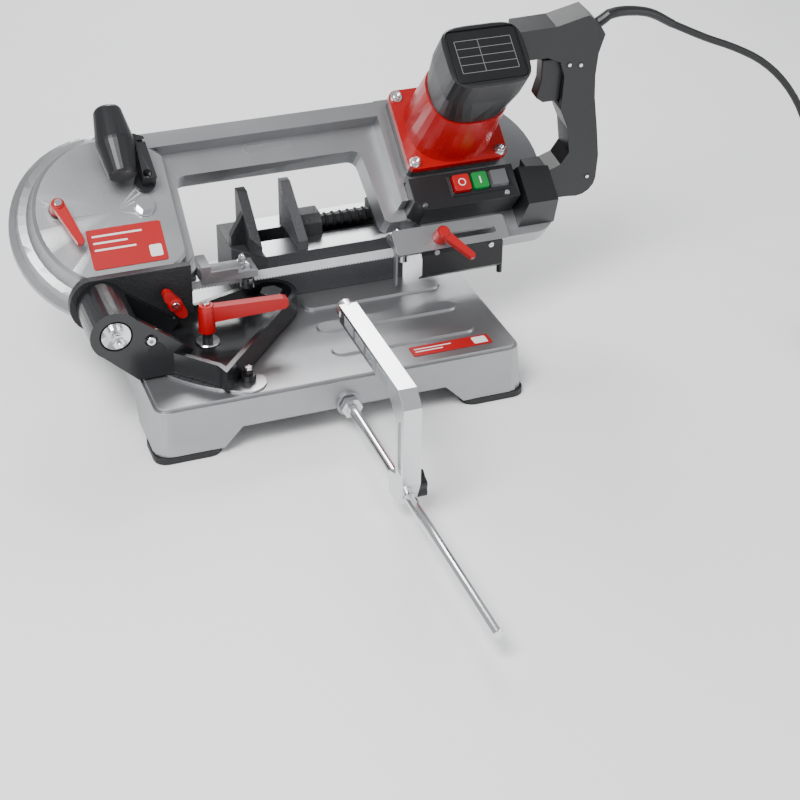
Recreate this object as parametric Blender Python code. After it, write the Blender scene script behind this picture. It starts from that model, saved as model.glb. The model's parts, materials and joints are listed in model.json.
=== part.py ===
"""Portable swivelling metal band saw, modelled as an assembly of separate pieces.

Metres, +Z up.  X runs along the blade (left to right), Y from the operator's side to the
back, and Z up from the floor.  The machine is laid out with the base's front edge on Y = 0
and the base's middle on X = 0; the last step moves the whole machine so that its origin is
the bottom centre of its bounding box.  The sawing head has its own inclined plane: points
on it are given as (x, v, h), x along the blade, v up the plane from the cutting strand of
the blade, and h out of the plane towards the operator.
"""
import bpy
import bmesh
from math import cos, degrees, pi, radians, sin, sqrt
from mathutils import Matrix, Vector

# ------------------------------------------------------------------ driving dimensions
GAP = 0.0003                 # between two pieces that touch
RUNNING = 0.0006             # radial clearance of a turning or sliding piece

BASE_WIDTH = 0.433           # top face of the cast base
BASE_DEPTH = 0.320
BASE_TOP = 0.066             # height of the base's top face above the floor
BASE_WALL = 0.006
BASE_DRAFT = 0.005           # how far the skirt flares at its foot
BASE_CORNER = 0.015
FOOT_HEIGHT = 0.008
FOOT_LENGTH = 0.078
ARCH_HEIGHT = 0.022          # the skirt's arch between two feet
RIB_LENGTH = 0.178
RIB_WIDTH = 0.024
RIB_HEIGHT = 0.003
RIB_PITCH = 0.0555
RIB_MIDDLE_X = 0.0915
FIRST_RIB_Y = 0.057

BLADE_Y = 0.175              # the cutting strand
BLADE_Z = BASE_TOP + 0.050
BLADE_WIDTH = 0.013
BLADE_THICKNESS = 0.0009
HEAD_TILT = radians(40.0)    # the head's plane leans back from level
WHEEL_RADIUS = 0.086         # where the blade runs
WHEEL_DISTANCE = 0.450
WHEEL_WIDTH = 0.015
IDLER_X = -0.2135
DOME_X = -0.2015             # the dome sits a little off the idler wheel
DOME_V = 0.090
DOME_RADIUS = 0.094
RING_RADIUS = 0.119          # rear rim of the left housing
WHEEL_CLEARANCE = 0.0028     # rim to housing
HOUSING_WALL = 0.0038
FRONT_FACE = 0.042           # outer face of the dome and the spine, over the head's plane
SHELF_FACE = 0.020           # lower band round the throat
BACK_FACE = -0.012           # rear edge of the casting
COVER_THICKNESS = 0.0012
SPINE_OUTER = 0.184          # the spine's outer edge, up the plane
SPINE_CREASE = 0.160         # where its raised band ends
SPINE_INNER = 0.131          # upper edge of the throat
THROAT_LEFT = -0.1205
THROAT_RIGHT = 0.1105
COLUMN_CREASE = 0.134        # the right column's raised part begins

SWIVEL_X = -0.0335           # mitre axis
SWIVEL_Y = 0.172
MITRE_RANGE = radians(45.0)
ARM_LIFT = 0.003             # underside of the arm over the base
ARM_FLOOR = 0.015            # thickness of the arm's floor
ARM_WALL_TOP = 0.030         # rim of the arm over the base
ARM_RIM = 0.006
ARM_TIP_RADIUS = 0.026
PIVOT_X = -0.241             # axis on which the head rises
PIVOT_Z = BASE_TOP + 0.064
BARREL_RADIUS = 0.029
BARREL_FRONT = 0.069
BARREL_BACK = 0.1425
SHAFT_RADIUS = 0.012
SPRING_POCKET_RADIUS = 0.0185
SPRING_POCKET_DEPTH = 0.014
PLATE_THICKNESS = 0.010
PLATE_RADIUS = 0.036
PLATE_RIGHT = -0.1355
PLATE_BOTTOM = BASE_TOP + 0.034

CLAMP_RADIUS = 0.122         # mitre clamp's distance from the mitre axis
CLAMP_ANGLE = radians(216.7)
CLAMP_STUD_RADIUS = 0.006
STOP_PIN_RADIUS_AT = 0.158
STOP_PIN_ANGLE = radians(243.6)
SCALE_HALF_WIDTH = 0.021
SCALE_THICKNESS = 0.0022

BED_TOP = BASE_TOP + 0.058
BED_FRONT = 0.200
BED_BACK = 0.303
BED_LEFT = -0.0635
BED_RIGHT = 0.1445
CHANNEL_FRONT = 0.241        # screw channel between the two ways
CHANNEL_BACK = 0.270
CHANNEL_FLOOR = BASE_TOP + 0.026
JAW_THICKNESS = 0.012
JAW_FRONT = 0.203
JAW_BACK = 0.275
JAW_HEIGHT = 0.060           # of the jaws' back corner over the bed
JAW_NOSE = 0.012             # of their front corner
FIXED_JAW_FACE = -0.0335
JAW_OPENING = 0.045
JAW_TRAVEL_CLOSE = 0.040
SCREW_RADIUS = 0.010
SCREW_CORE = 0.0085
SCREW_PITCH = 0.005
SCREW_Z = BED_TOP + 0.008
NUT_LEFT = 0.1215
KNOB_RADIUS = 0.0215
KNOB_LENGTH = 0.022

ROD_RADIUS = 0.006
ROD_X = 0.0025
ROD_Z = BASE_TOP - 0.031
ROD_FRONT = -0.432
STOP_ARM_Y = -0.176
STOP_ARM_TOP = BASE_TOP + 0.098
STOP_ARM_REACH = -0.004

MOTOR_X = 0.2115             # motor axis over the head's plane
MOTOR_V = 0.127
FLANGE_WIDTH = 0.128
FLANGE_HEIGHT = 0.106
SPACER_THICKNESS = 0.016
FLANGE_THICKNESS = 0.009
MOTOR_TOP = 0.236
CAP_BASE = 0.150
CAP_WIDTH = 0.098
CAP_HEIGHT = 0.078

CORD_RADIUS = 0.0045

HEAD_X = Vector((1.0, 0.0, 0.0))
HEAD_V = Vector((0.0, cos(HEAD_TILT), sin(HEAD_TILT)))
HEAD_N = Vector((0.0, -sin(HEAD_TILT), cos(HEAD_TILT)))
HEAD_ORIGIN = Vector((0.0, BLADE_Y, BLADE_Z))
DRIVE_X = IDLER_X + WHEEL_DISTANCE
POCKET_RADIUS = WHEEL_RADIUS + WHEEL_CLEARANCE
SWIVEL = Vector((SWIVEL_X, SWIVEL_Y, 0.0))


# ------------------------------------------------------------------ materials and helpers
def new_material(name, colour, roughness, metallic=0.0):
    """A Principled material."""
    material = bpy.data.materials.new(name)
    material.use_nodes = True
    shader = material.node_tree.nodes["Principled BSDF"]
    shader.inputs["Base Color"].default_value = (*colour, 1.0)
    shader.inputs["Roughness"].default_value = roughness
    shader.inputs["Metallic"].default_value = metallic
    return material


COLOURS = {
    "cast_aluminium": ((0.55, 0.56, 0.57), 0.38, 0.9),
    "black_casting": ((0.030, 0.031, 0.034), 0.45, 0.1),
    "rough_iron": ((0.075, 0.077, 0.080), 0.75, 0.5),
    "chromed_steel": ((0.75, 0.76, 0.78), 0.15, 1.0),
    "blade_steel": ((0.60, 0.61, 0.62), 0.30, 1.0),
    "black_steel": ((0.022, 0.022, 0.024), 0.40, 0.4),
    "red_plastic": ((0.62, 0.020, 0.025), 0.35, 0.0),
    "red_paint": ((0.60, 0.016, 0.020), 0.28, 0.1),
    "black_plastic": ((0.022, 0.023, 0.026), 0.42, 0.0),
    "green_plastic": ((0.010, 0.270, 0.075), 0.35, 0.0),
    "clear_plastic": ((0.45, 0.47, 0.50), 0.12, 0.0),
    "rubber": ((0.018, 0.018, 0.019), 0.70, 0.0),
    "scale_steel": ((0.68, 0.69, 0.70), 0.30, 0.9),
}
MATERIALS = {}


def start_scene():
    """Clears the scene and makes the materials and the root empty."""
    for item in list(bpy.data.objects):
        bpy.data.objects.remove(item, do_unlink=True)
    for name, (colour, roughness, metallic) in COLOURS.items():
        MATERIALS[name] = new_material(name, colour, roughness, metallic)
    root = bpy.data.objects.new("machine", None)
    bpy.context.scene.collection.objects.link(root)
    return root


def head_matrix(x=0.0, v=0.0, h=0.0):
    """Local axes x, v, h of the head's plane, from one of its points."""
    origin = HEAD_ORIGIN + HEAD_X * x + HEAD_V * v + HEAD_N * h
    rotation = Matrix((HEAD_X, HEAD_V, HEAD_N)).transposed().to_4x4()
    return Matrix.Translation(origin) @ rotation


def head_point(x, v, h):
    """A point of the head's plane in machine coordinates."""
    return HEAD_ORIGIN + HEAD_X * x + HEAD_V * v + HEAD_N * h


def along(axis):
    """Rotation that turns +Z to the named axis."""
    turns = {
        "x": ((0, 0, 1), (0, 1, 0), (-1, 0, 0)),
        "-x": ((0, 0, -1), (0, 1, 0), (1, 0, 0)),
        "y": ((1, 0, 0), (0, 0, 1), (0, -1, 0)),
        "-y": ((1, 0, 0), (0, 0, -1), (0, 1, 0)),
        "z": ((1, 0, 0), (0, 1, 0), (0, 0, 1)),
    }
    return Matrix(turns[axis]).to_4x4()


def place(x, y, z, axis="z"):
    """A placing matrix at a machine point, its Z turned to an axis."""
    return Matrix.Translation((x, y, z)) @ along(axis)


def prism(points, low, high, matrix=None, top=None):
    """A closed prism over a counter-clockwise outline, or a frustum up to another outline."""
    mesh = bmesh.new()
    upper = top or points
    lower_ring = [mesh.verts.new((x, y, low)) for x, y in points]
    upper_ring = [mesh.verts.new((x, y, high)) for x, y in upper]
    mesh.faces.new(reversed(lower_ring))
    mesh.faces.new(upper_ring)
    count = len(points)
    for i in range(count):
        j = (i + 1) % count
        mesh.faces.new((lower_ring[i], lower_ring[j], upper_ring[j], upper_ring[i]))
    if matrix:
        mesh.transform(matrix)
    return mesh


def loft(sections, matrix=None):
    """A closed solid through outlines with the same number of points, at rising heights."""
    mesh = bmesh.new()
    rings = [[mesh.verts.new((x, y, z)) for x, y in points] for points, z in sections]
    mesh.faces.new(reversed(rings[0]))
    mesh.faces.new(rings[-1])
    count = len(rings[0])
    for lower, upper in zip(rings, rings[1:]):
        for i in range(count):
            j = (i + 1) % count
            mesh.faces.new((lower[i], lower[j], upper[j], upper[i]))
    if matrix:
        mesh.transform(matrix)
    return mesh


def block(low, high, matrix=None):
    """An upright box between two corners."""
    outline = [(low[0], low[1]), (high[0], low[1]), (high[0], high[1]), (low[0], high[1])]
    return prism(outline, low[2], high[2], matrix)


def arc(cx, cy, radius, start, end, steps):
    """Points on an arc, ends included, angles in radians."""
    return [(cx + radius * cos(start + (end - start) * i / steps),
             cy + radius * sin(start + (end - start) * i / steps)) for i in range(steps + 1)]


def circle(cx, cy, radius, steps=32):
    """A full circle's points."""
    return arc(cx, cy, radius, 0.0, 2 * pi * (steps - 1) / steps, steps - 1)


def rounded(x0, y0, x1, y1, radius, steps=4):
    """A rectangle's outline with round corners."""
    corners = ((x1 - radius, y0 + radius, -pi / 2), (x1 - radius, y1 - radius, 0.0),
               (x0 + radius, y1 - radius, pi / 2), (x0 + radius, y0 + radius, pi))
    outline = []
    for cx, cy, start in corners:
        outline += arc(cx, cy, radius, start, start + pi / 2, steps)
    return outline


def stadium(x0, x1, y, half, steps=6):
    """A bar's outline with round ends, along X."""
    right = arc(x1 - half, y, half, -pi / 2, pi / 2, steps)
    left = arc(x0 + half, y, half, pi / 2, 3 * pi / 2, steps)
    return right + left


def turned(profile, steps=32, matrix=None):
    """A turned solid about Z from an outline of (radius, height) that runs bottom to top."""
    mesh = bmesh.new()
    rings = []
    for radius, height in profile:
        if radius < 1e-9:
            rings.append([mesh.verts.new((0.0, 0.0, height))])
            continue
        rings.append([mesh.verts.new((radius * cos(2 * pi * i / steps),
                                      radius * sin(2 * pi * i / steps), height))
                      for i in range(steps)])
    closed = len(rings[0]) > 1 and len(rings[-1]) > 1
    pairs = list(zip(rings, rings[1:]))
    if closed:
        pairs.append((rings[-1], rings[0]))
    for a, b in pairs:
        for i in range(steps):
            j = (i + 1) % steps
            ring = []
            for vert in (a[i % len(a)], a[j % len(a)], b[j % len(b)], b[i % len(b)]):
                if vert not in ring:
                    ring.append(vert)
            if len(ring) > 2:
                mesh.faces.new(ring)
    bmesh.ops.recalc_face_normals(mesh, faces=mesh.faces)
    if matrix:
        mesh.transform(matrix)
    return mesh


def cylinder(radius, low, high, matrix=None, steps=32):
    """A plain cylinder along the matrix's Z."""
    return turned([(0.0, low), (radius, low), (radius, high), (0.0, high)], steps, matrix)


def tube(inner, outer, low, high, matrix=None, steps=32):
    """A tube along the matrix's Z."""
    return turned([(inner, low), (outer, low), (outer, high), (inner, high)], steps, matrix)


def hexagon(across, low, high, matrix=None):
    """A hexagonal bolt head or nut."""
    return prism(circle(0.0, 0.0, across / sqrt(3.0), 6), low, high, matrix)


def chamfer(mesh, width, angle=35.0):
    """Bevels a mesh's sharp edges."""
    bmesh.ops.recalc_face_normals(mesh, faces=mesh.faces)
    edges = [e for e in mesh.edges if len(e.link_faces) == 2
             and degrees(e.calc_face_angle(0.0)) > angle]
    bmesh.ops.bevel(mesh, geom=edges, offset=width, segments=1, affect="EDGES",
                    clamp_overlap=True)
    return mesh


def to_object(name, mesh, material="black_plastic"):
    """Turns a bmesh into a scene object."""
    bmesh.ops.recalc_face_normals(mesh, faces=mesh.faces)
    data = bpy.data.meshes.new(name)
    mesh.to_mesh(data)
    mesh.free()
    data.shade_smooth()
    data.set_sharp_from_angle(angle=radians(32.0))
    item = bpy.data.objects.new(name, data)
    item.data.materials.append(MATERIALS[material])
    bpy.context.scene.collection.objects.link(item)
    return item


def combine(item, mesh, operation):
    """Unites a mesh with an object or cuts it out of it, and keeps the result."""
    tool = to_object("tool", mesh)
    modifier = item.modifiers.new("boolean", "BOOLEAN")
    modifier.operation = operation
    modifier.solver = "EXACT"
    modifier.object = tool
    bpy.context.view_layer.update()
    graph = bpy.context.evaluated_depsgraph_get()
    result = bpy.data.meshes.new_from_object(item.evaluated_get(graph))
    item.modifiers.clear()
    old = item.data
    item.data = result
    bpy.data.meshes.remove(old)
    bpy.data.objects.remove(tool, do_unlink=True)
    return item


def join(item, *meshes):
    """Unites meshes with an object."""
    for mesh in meshes:
        combine(item, mesh, "UNION")
    return item


def cut(item, *meshes):
    """Cuts meshes out of an object."""
    for mesh in meshes:
        combine(item, mesh, "DIFFERENCE")
    return item


def finish(item, origin=None):
    """Cleans a mesh, sets its smooth shading and moves its origin onto its joint's axis."""
    mesh = bmesh.new()
    mesh.from_mesh(item.data)
    bmesh.ops.remove_doubles(mesh, verts=mesh.verts, dist=2e-6)
    bmesh.ops.dissolve_degenerate(mesh, edges=mesh.edges, dist=2e-6)
    mesh.to_mesh(item.data)
    mesh.free()
    if origin:
        item.data.transform(Matrix.Translation(-Vector(origin)))
        item.location = origin
    item.data.shade_smooth()
    item.data.set_sharp_from_angle(angle=radians(32.0))
    return item


def sector(radius_in, radius_out, start, end, steps):
    """An arc band's outline round the mitre axis."""
    outer = arc(SWIVEL_X, SWIVEL_Y, radius_out, start, end, steps)
    inner = arc(SWIVEL_X, SWIVEL_Y, radius_in, end, start, steps)
    return outer + inner


def polar(radius, angle):
    """A point at an angle round the mitre axis."""
    return (SWIVEL_X + radius * cos(angle), SWIVEL_Y + radius * sin(angle))


def upright(points, front, back):
    """A prism over an outline of (x, z), between two Y planes."""
    matrix = Matrix(((1, 0, 0, 0), (0, 0, -1, 0), (0, 1, 0, 0), (0, 0, 0, 1)))
    return prism(points, -back, -front, matrix)


def endways(points, left, right):
    """A prism over an outline of (y, z), between two X planes."""
    matrix = Matrix(((0, 0, 1, 0), (1, 0, 0, 0), (0, 1, 0, 0), (0, 0, 0, 1)))
    return prism(points, left, right, matrix)


def inset(points, distance):
    """An outline moved inwards, corner by corner."""
    moved = []
    count = len(points)
    for i in range(count):
        before = Vector(points[i - 1])
        here = Vector(points[i])
        after = Vector(points[(i + 1) % count])
        first = (here - before).normalized()
        second = (after - here).normalized()
        a = Vector((-first.y, first.x))
        b = Vector((-second.y, second.x))
        step = (a + b) / (1.0 + a.dot(b))
        moved.append(tuple(here + step * distance))
    return moved


def superellipse(a, b, power, steps=32):
    """An outline between an ellipse (power 2) and a rectangle."""
    outline = []
    for i in range(steps):
        t = 2 * pi * (i + 0.5) / steps
        c, s = cos(t), sin(t)
        outline.append((a * abs(c) ** (2 / power) * (1 if c > 0 else -1),
                        b * abs(s) ** (2 / power) * (1 if s > 0 else -1)))
    return outline


# ------------------------------------------------------------------ base
def base_outline(z):
    """The base's outline at a height, wider towards the foot."""
    flare = BASE_DRAFT * (BASE_TOP - z) / (BASE_TOP - FOOT_HEIGHT)
    half = BASE_WIDTH / 2 + flare
    return rounded(-half, -flare, half, BASE_DEPTH + flare, BASE_CORNER + flare)


def make_base():
    """The cast base: a shell open underneath, with arches, ribs and the mitre slot."""
    mesh = prism(base_outline(FOOT_HEIGHT), FOOT_HEIGHT, BASE_TOP, top=base_outline(BASE_TOP))
    rim = [e for e in mesh.edges if all(abs(v.co.z - BASE_TOP) < 1e-6 for v in e.verts)]
    bmesh.ops.bevel(mesh, geom=rim, offset=0.0035, segments=2, affect="EDGES",
                    clamp_overlap=True)
    base = to_object("base_casting", mesh, "cast_aluminium")
    inner = inset(base_outline(BASE_TOP), BASE_WALL)
    cut(base, prism(inset(base_outline(0.0), BASE_WALL), -0.01, BASE_TOP - BASE_WALL, top=inner))
    foot = FOOT_LENGTH
    rise = ARCH_HEIGHT
    half = BASE_WIDTH / 2 + BASE_DRAFT
    low = FOOT_HEIGHT - 0.002
    front = [(-half + foot, low), (half - foot, low), (half - foot, FOOT_HEIGHT),
             (half - foot - rise, FOOT_HEIGHT + rise), (-half + foot + rise, FOOT_HEIGHT + rise),
             (-half + foot, FOOT_HEIGHT)]
    side = [(foot, low), (BASE_DEPTH - foot, low), (BASE_DEPTH - foot, FOOT_HEIGHT),
            (BASE_DEPTH - foot - rise, FOOT_HEIGHT + rise), (foot + rise, FOOT_HEIGHT + rise),
            (foot, FOOT_HEIGHT)]
    cut(base, upright(front, -0.02, BASE_DEPTH + 0.02), endways(side, -half - 0.02, half + 0.02))
    for row in range(3):
        y = FIRST_RIB_Y + row * RIB_PITCH
        left, right = RIB_MIDDLE_X - RIB_LENGTH / 2, RIB_MIDDLE_X + RIB_LENGTH / 2
        foot_line = stadium(left, right, y, RIB_WIDTH / 2)
        crest = stadium(left + 0.002, right - 0.002, y, RIB_WIDTH / 2 - 0.002)
        join(base, prism(foot_line, BASE_TOP - 0.002, BASE_TOP + RIB_HEIGHT, top=crest))
    join(base, cylinder(0.015, 0.001, 0.0092, place(ROD_X, 0.002, ROD_Z, "-y"), 24))
    slot_half = CLAMP_STUD_RADIUS + 0.0012
    slot = sector(CLAMP_RADIUS - slot_half, CLAMP_RADIUS + slot_half,
                  CLAMP_ANGLE - MITRE_RANGE - 0.08, CLAMP_ANGLE + 0.08, 12)
    cut(base, prism(slot, BASE_TOP - 0.012, BASE_TOP + 0.002),
        cylinder(0.008 + GAP, -0.02, BASE_TOP + 0.02, place(SWIVEL_X, SWIVEL_Y, 0.0), 24),
        cylinder(ROD_RADIUS + GAP, -0.02, 0.03, place(ROD_X, 0.012, ROD_Z, "-y"), 24))
    return [finish(base)]


def make_feet():
    """Four rubber corner feet."""
    feet = []
    half = BASE_WIDTH / 2 + BASE_DRAFT + 0.001
    near, far = -BASE_DRAFT - 0.001, BASE_DEPTH + BASE_DRAFT + 0.001
    corners = {"front_left": (-half, near), "front_right": (half - FOOT_LENGTH, near),
               "rear_left": (-half, far - 0.060), "rear_right": (half - FOOT_LENGTH, far - 0.060)}
    for name, (x, y) in corners.items():
        outline = rounded(x, y, x + FOOT_LENGTH, y + 0.060, BASE_CORNER)
        mesh = prism(outline, 0.0, FOOT_HEIGHT - GAP)
        feet.append(finish(to_object("foot_" + name, mesh, "rubber")))
    return feet


def make_base_trim():
    """The mitre scale with its zero stop."""
    radius = STOP_PIN_RADIUS_AT + 0.005
    start, end = radians(197.0), STOP_PIN_ANGLE
    outer = arc(SWIVEL_X, SWIVEL_Y, radius + SCALE_HALF_WIDTH, start, end, 10)
    cap = polar(radius, end)
    tip = arc(cap[0], cap[1], SCALE_HALF_WIDTH, end, end + pi, 8)[1:-1]
    inner = arc(SWIVEL_X, SWIVEL_Y, radius - SCALE_HALF_WIDTH, end, start, 10)
    bottom = BASE_TOP + GAP
    scale = to_object("mitre_scale", prism(outer + tip + inner, bottom,
                                           bottom + SCALE_THICKNESS), "scale_steel")
    pin = polar(STOP_PIN_RADIUS_AT, STOP_PIN_ANGLE)
    seat = bottom + SCALE_THICKNESS + GAP
    at = place(pin[0], pin[1], seat)
    stop = turned([(0.0, 0.0), (0.0085, 0.0), (0.0085, 0.007), (0.0048, 0.007),
                   (0.0048, 0.0135), (0.0, 0.0135)], 24, at)
    return [finish(scale), finish(to_object("zero_stop", stop, "black_steel"))]


# ------------------------------------------------------------------ vise
def bed_outline():
    """The vise bed from above; its front left corner is cut back for the mitred blade."""
    return [(SWIVEL_X + 0.005, BED_FRONT), (BED_RIGHT, BED_FRONT), (BED_RIGHT, BED_BACK),
            (BED_LEFT, BED_BACK), (BED_LEFT, BED_FRONT + 0.035)]


def make_bed():
    """The vise bed with its screw channel, and the fixed jaw with its gusset."""
    bed = to_object("vise_bed", prism(bed_outline(), BASE_TOP + GAP, BED_TOP), "rough_iron")
    left = FIXED_JAW_FACE + 0.004
    cut(bed, block((left, CHANNEL_FRONT, CHANNEL_FLOOR),
                   (BED_RIGHT + 0.01, CHANNEL_BACK, BED_TOP + 0.01)))
    seat = BED_TOP + GAP
    face = FIXED_JAW_FACE
    outline = [(face, JAW_FRONT), (face, JAW_BACK), (face - JAW_THICKNESS, JAW_BACK),
               (face - JAW_THICKNESS, JAW_FRONT + JAW_THICKNESS)]
    jaw = to_object("fixed_jaw", prism(outline, seat, seat + JAW_HEIGHT), "rough_iron")
    gusset = [(BED_LEFT + 0.002, seat), (face - JAW_THICKNESS + 0.001, seat),
              (face - JAW_THICKNESS + 0.001, seat + 0.042), (BED_LEFT + 0.002, seat + 0.012)]
    join(jaw, upright(gusset, 0.241, 0.252))
    slope = [(JAW_FRONT - 0.01, seat + JAW_NOSE), (JAW_FRONT, seat + JAW_NOSE),
             (JAW_BACK - 0.012, seat + JAW_HEIGHT), (JAW_BACK - 0.012, seat + JAW_HEIGHT + 0.02),
             (JAW_FRONT - 0.01, seat + JAW_HEIGHT + 0.02)]
    cut(jaw, endways(slope, -0.1, 0.0))
    return [finish(bed), finish(jaw)]


def make_moving_jaw():
    """The moving jaw with its screw boss and the tongue that slides in the bed's channel."""
    seat = BED_TOP + GAP
    face = FIXED_JAW_FACE + JAW_OPENING
    back = face + JAW_THICKNESS
    outline = [(JAW_FRONT, seat), (JAW_BACK + 0.008, seat), (JAW_BACK + 0.008, seat + JAW_HEIGHT),
               (JAW_BACK - 0.004, seat + JAW_HEIGHT), (JAW_FRONT, seat + JAW_NOSE)]
    jaw = to_object("moving_jaw", endways(outline, face, back), "rough_iron")
    middle = (CHANNEL_FRONT + CHANNEL_BACK) / 2
    boss = [(middle - 0.019, seat), (middle + 0.019, seat), (middle + 0.019, SCREW_Z + 0.008),
            (middle + 0.010, SCREW_Z + 0.017), (middle - 0.010, SCREW_Z + 0.017),
            (middle - 0.019, SCREW_Z + 0.008)]
    join(jaw, endways(boss, back - 0.001, back + 0.029))
    tongue = block((face + 0.002, CHANNEL_FRONT + RUNNING, BED_TOP - 0.018),
                   (back + 0.026, CHANNEL_BACK - RUNNING, seat + 0.001))
    join(jaw, tongue)
    cut(jaw, cylinder(SCREW_RADIUS + GAP, -0.02, 0.05,
                      place(back + 0.011, middle, SCREW_Z, "x"), 24))
    return [finish(jaw)]


def make_screw():
    """The vise screw with its thread, the nut block at the bed's end, and the hand knob."""
    middle = (CHANNEL_FRONT + CHANNEL_BACK) / 2
    start = FIXED_JAW_FACE + JAW_OPENING + JAW_THICKNESS + 0.0115
    knob_left = NUT_LEFT + 0.018 + JAW_TRAVEL_CLOSE + 0.004
    profile = [(0.0, start), (SCREW_CORE, start), (SCREW_CORE, start + 0.024)]
    x = start + 0.025
    while x < knob_left - 0.004:
        profile += [(SCREW_CORE, x), (SCREW_RADIUS, x + 0.30 * SCREW_PITCH),
                    (SCREW_RADIUS, x + 0.55 * SCREW_PITCH), (SCREW_CORE, x + 0.85 * SCREW_PITCH)]
        x += 2 * SCREW_PITCH
    end = knob_left + KNOB_LENGTH - 0.004
    profile += [(SCREW_CORE, knob_left - 0.001), (SCREW_CORE - 0.002, knob_left),
                (SCREW_CORE - 0.002, end), (0.0, end)]
    screw = to_object("vise_screw", turned(profile, 16, place(0.0, middle, SCREW_Z, "x")),
                      "black_steel")
    seat = BED_TOP + GAP
    outline = [(middle - 0.022, seat), (middle + 0.022, seat), (middle + 0.022, SCREW_Z + 0.010),
               (middle + 0.011, SCREW_Z + 0.018), (middle - 0.011, SCREW_Z + 0.018),
               (middle - 0.022, SCREW_Z + 0.010)]
    nut = to_object("nut_block", endways(outline, NUT_LEFT, NUT_LEFT + 0.018), "rough_iron")
    cut(nut, cylinder(SCREW_RADIUS + RUNNING, -0.02, 0.04,
                      place(NUT_LEFT, middle, SCREW_Z, "x"), 24))
    at = place(0.0, middle, SCREW_Z, "x")
    knob = to_object("vise_knob",
                     turned([(SCREW_CORE - 0.002 + GAP, knob_left), (0.014, knob_left),
                             (KNOB_RADIUS - 0.003, knob_left + 0.004),
                             (KNOB_RADIUS, knob_left + 0.008),
                             (KNOB_RADIUS, knob_left + KNOB_LENGTH - 0.004),
                             (KNOB_RADIUS - 0.004, knob_left + KNOB_LENGTH),
                             (SCREW_CORE - 0.002 + GAP, knob_left + KNOB_LENGTH)], 24, at))
    origin = (knob_left, middle, SCREW_Z)
    return [finish(screw, origin), finish(nut), finish(knob, origin)]


# ------------------------------------------------------------------ length stop
def make_stop():
    """The stop rod in the base's front, its nut, the sliding stop arm and its lock knob."""
    at = place(ROD_X, 0.0, ROD_Z, "-y")
    rod = to_object("stop_rod", chamfer(cylinder(ROD_RADIUS, -0.030, -ROD_FRONT, at, 20), 0.001),
                    "chromed_steel")
    nut = hexagon(0.022, 0.0095, 0.0175, at)
    nut = cut(to_object("rod_nut", nut, "chromed_steel"),
              cylinder(ROD_RADIUS + GAP, -0.01, 0.03, at, 20))
    y = STOP_ARM_Y
    top, reach = STOP_ARM_TOP, STOP_ARM_REACH
    low = ROD_Z - 0.013
    side = [(y - 0.014, low), (y + 0.014, low), (y + 0.014, ROD_Z + 0.014), (y - 0.006, ROD_Z + 0.022),
            (y - 0.006, top - 0.040), (y + 0.016, top - 0.021), (reach, top - 0.021), (reach, top),
            (y - 0.012, top), (y - 0.028, top - 0.016), (y - 0.028, ROD_Z + 0.020),
            (y - 0.020, ROD_Z)]
    arm = to_object("stop_arm", endways(side, ROD_X - 0.010, ROD_X + 0.010), "cast_aluminium")
    join(arm, cylinder(0.011, -0.010 - reach, 0.002 - reach, place(ROD_X, 0.0, top - 0.0105, "-y"), 24))
    pocket_side = [(y - 0.022, ROD_Z + 0.030), (y - 0.012, ROD_Z + 0.030), (y - 0.012, top - 0.040),
                   (y - 0.022, top - 0.030)]
    pockets = []
    for i in range(4):
        start = y + 0.022 + 0.0345 * i
        window = [(start, top - 0.0165), (start + 0.0300, top - 0.0165),
                  (start + 0.0300, top - 0.0045), (start, top - 0.0045)]
        pockets.append(endways(window, ROD_X - 0.02, ROD_X - 0.004))
    cut(arm, cylinder(ROD_RADIUS + GAP, -0.03, 0.03, place(ROD_X, y, ROD_Z, "-y"), 24),
        endways(pocket_side, ROD_X + 0.006, ROD_X + 0.02),
        endways(pocket_side, ROD_X - 0.02, ROD_X - 0.006), *pockets,
        cylinder(0.0033, 0.004, 0.02, place(ROD_X, y, ROD_Z, "x"), 12))
    hub = place(ROD_X, y, ROD_Z, "x")
    lobes = []
    for i in range(36):
        angle = 2 * pi * i / 36
        radius = 0.0145 + 0.0015 * cos(6 * angle)
        lobes.append((radius * cos(angle), radius * sin(angle)))
    knob = to_object("stop_knob", prism(lobes, 0.0125, 0.0235, hub))
    join(knob, cylinder(0.007, 0.0103, 0.0130, hub, 16), cylinder(0.003, ROD_RADIUS + 0.0008, 0.0120, hub, 12))
    origin = (ROD_X + 0.0125, y, ROD_Z)
    return [finish(rod), finish(nut), finish(arm, (ROD_X, y, ROD_Z)), finish(knob, origin)]


# ------------------------------------------------------------------ swivel arm
def arm_outline():
    """The swivel arm's floor from above."""
    tip = arc(SWIVEL_X - 0.001, SWIVEL_Y - 0.004, ARM_TIP_RADIUS + 0.004,
              radians(-41.7), radians(105.0), 10)
    return [(PIVOT_X + 0.0215, BARREL_FRONT), (-0.1785, BARREL_FRONT), (-0.1390, 0.0260),
            (-0.1340, 0.0090), (-0.1290, 0.0150)] + tip + [(PIVOT_X + 0.0215, BARREL_BACK)]


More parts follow.
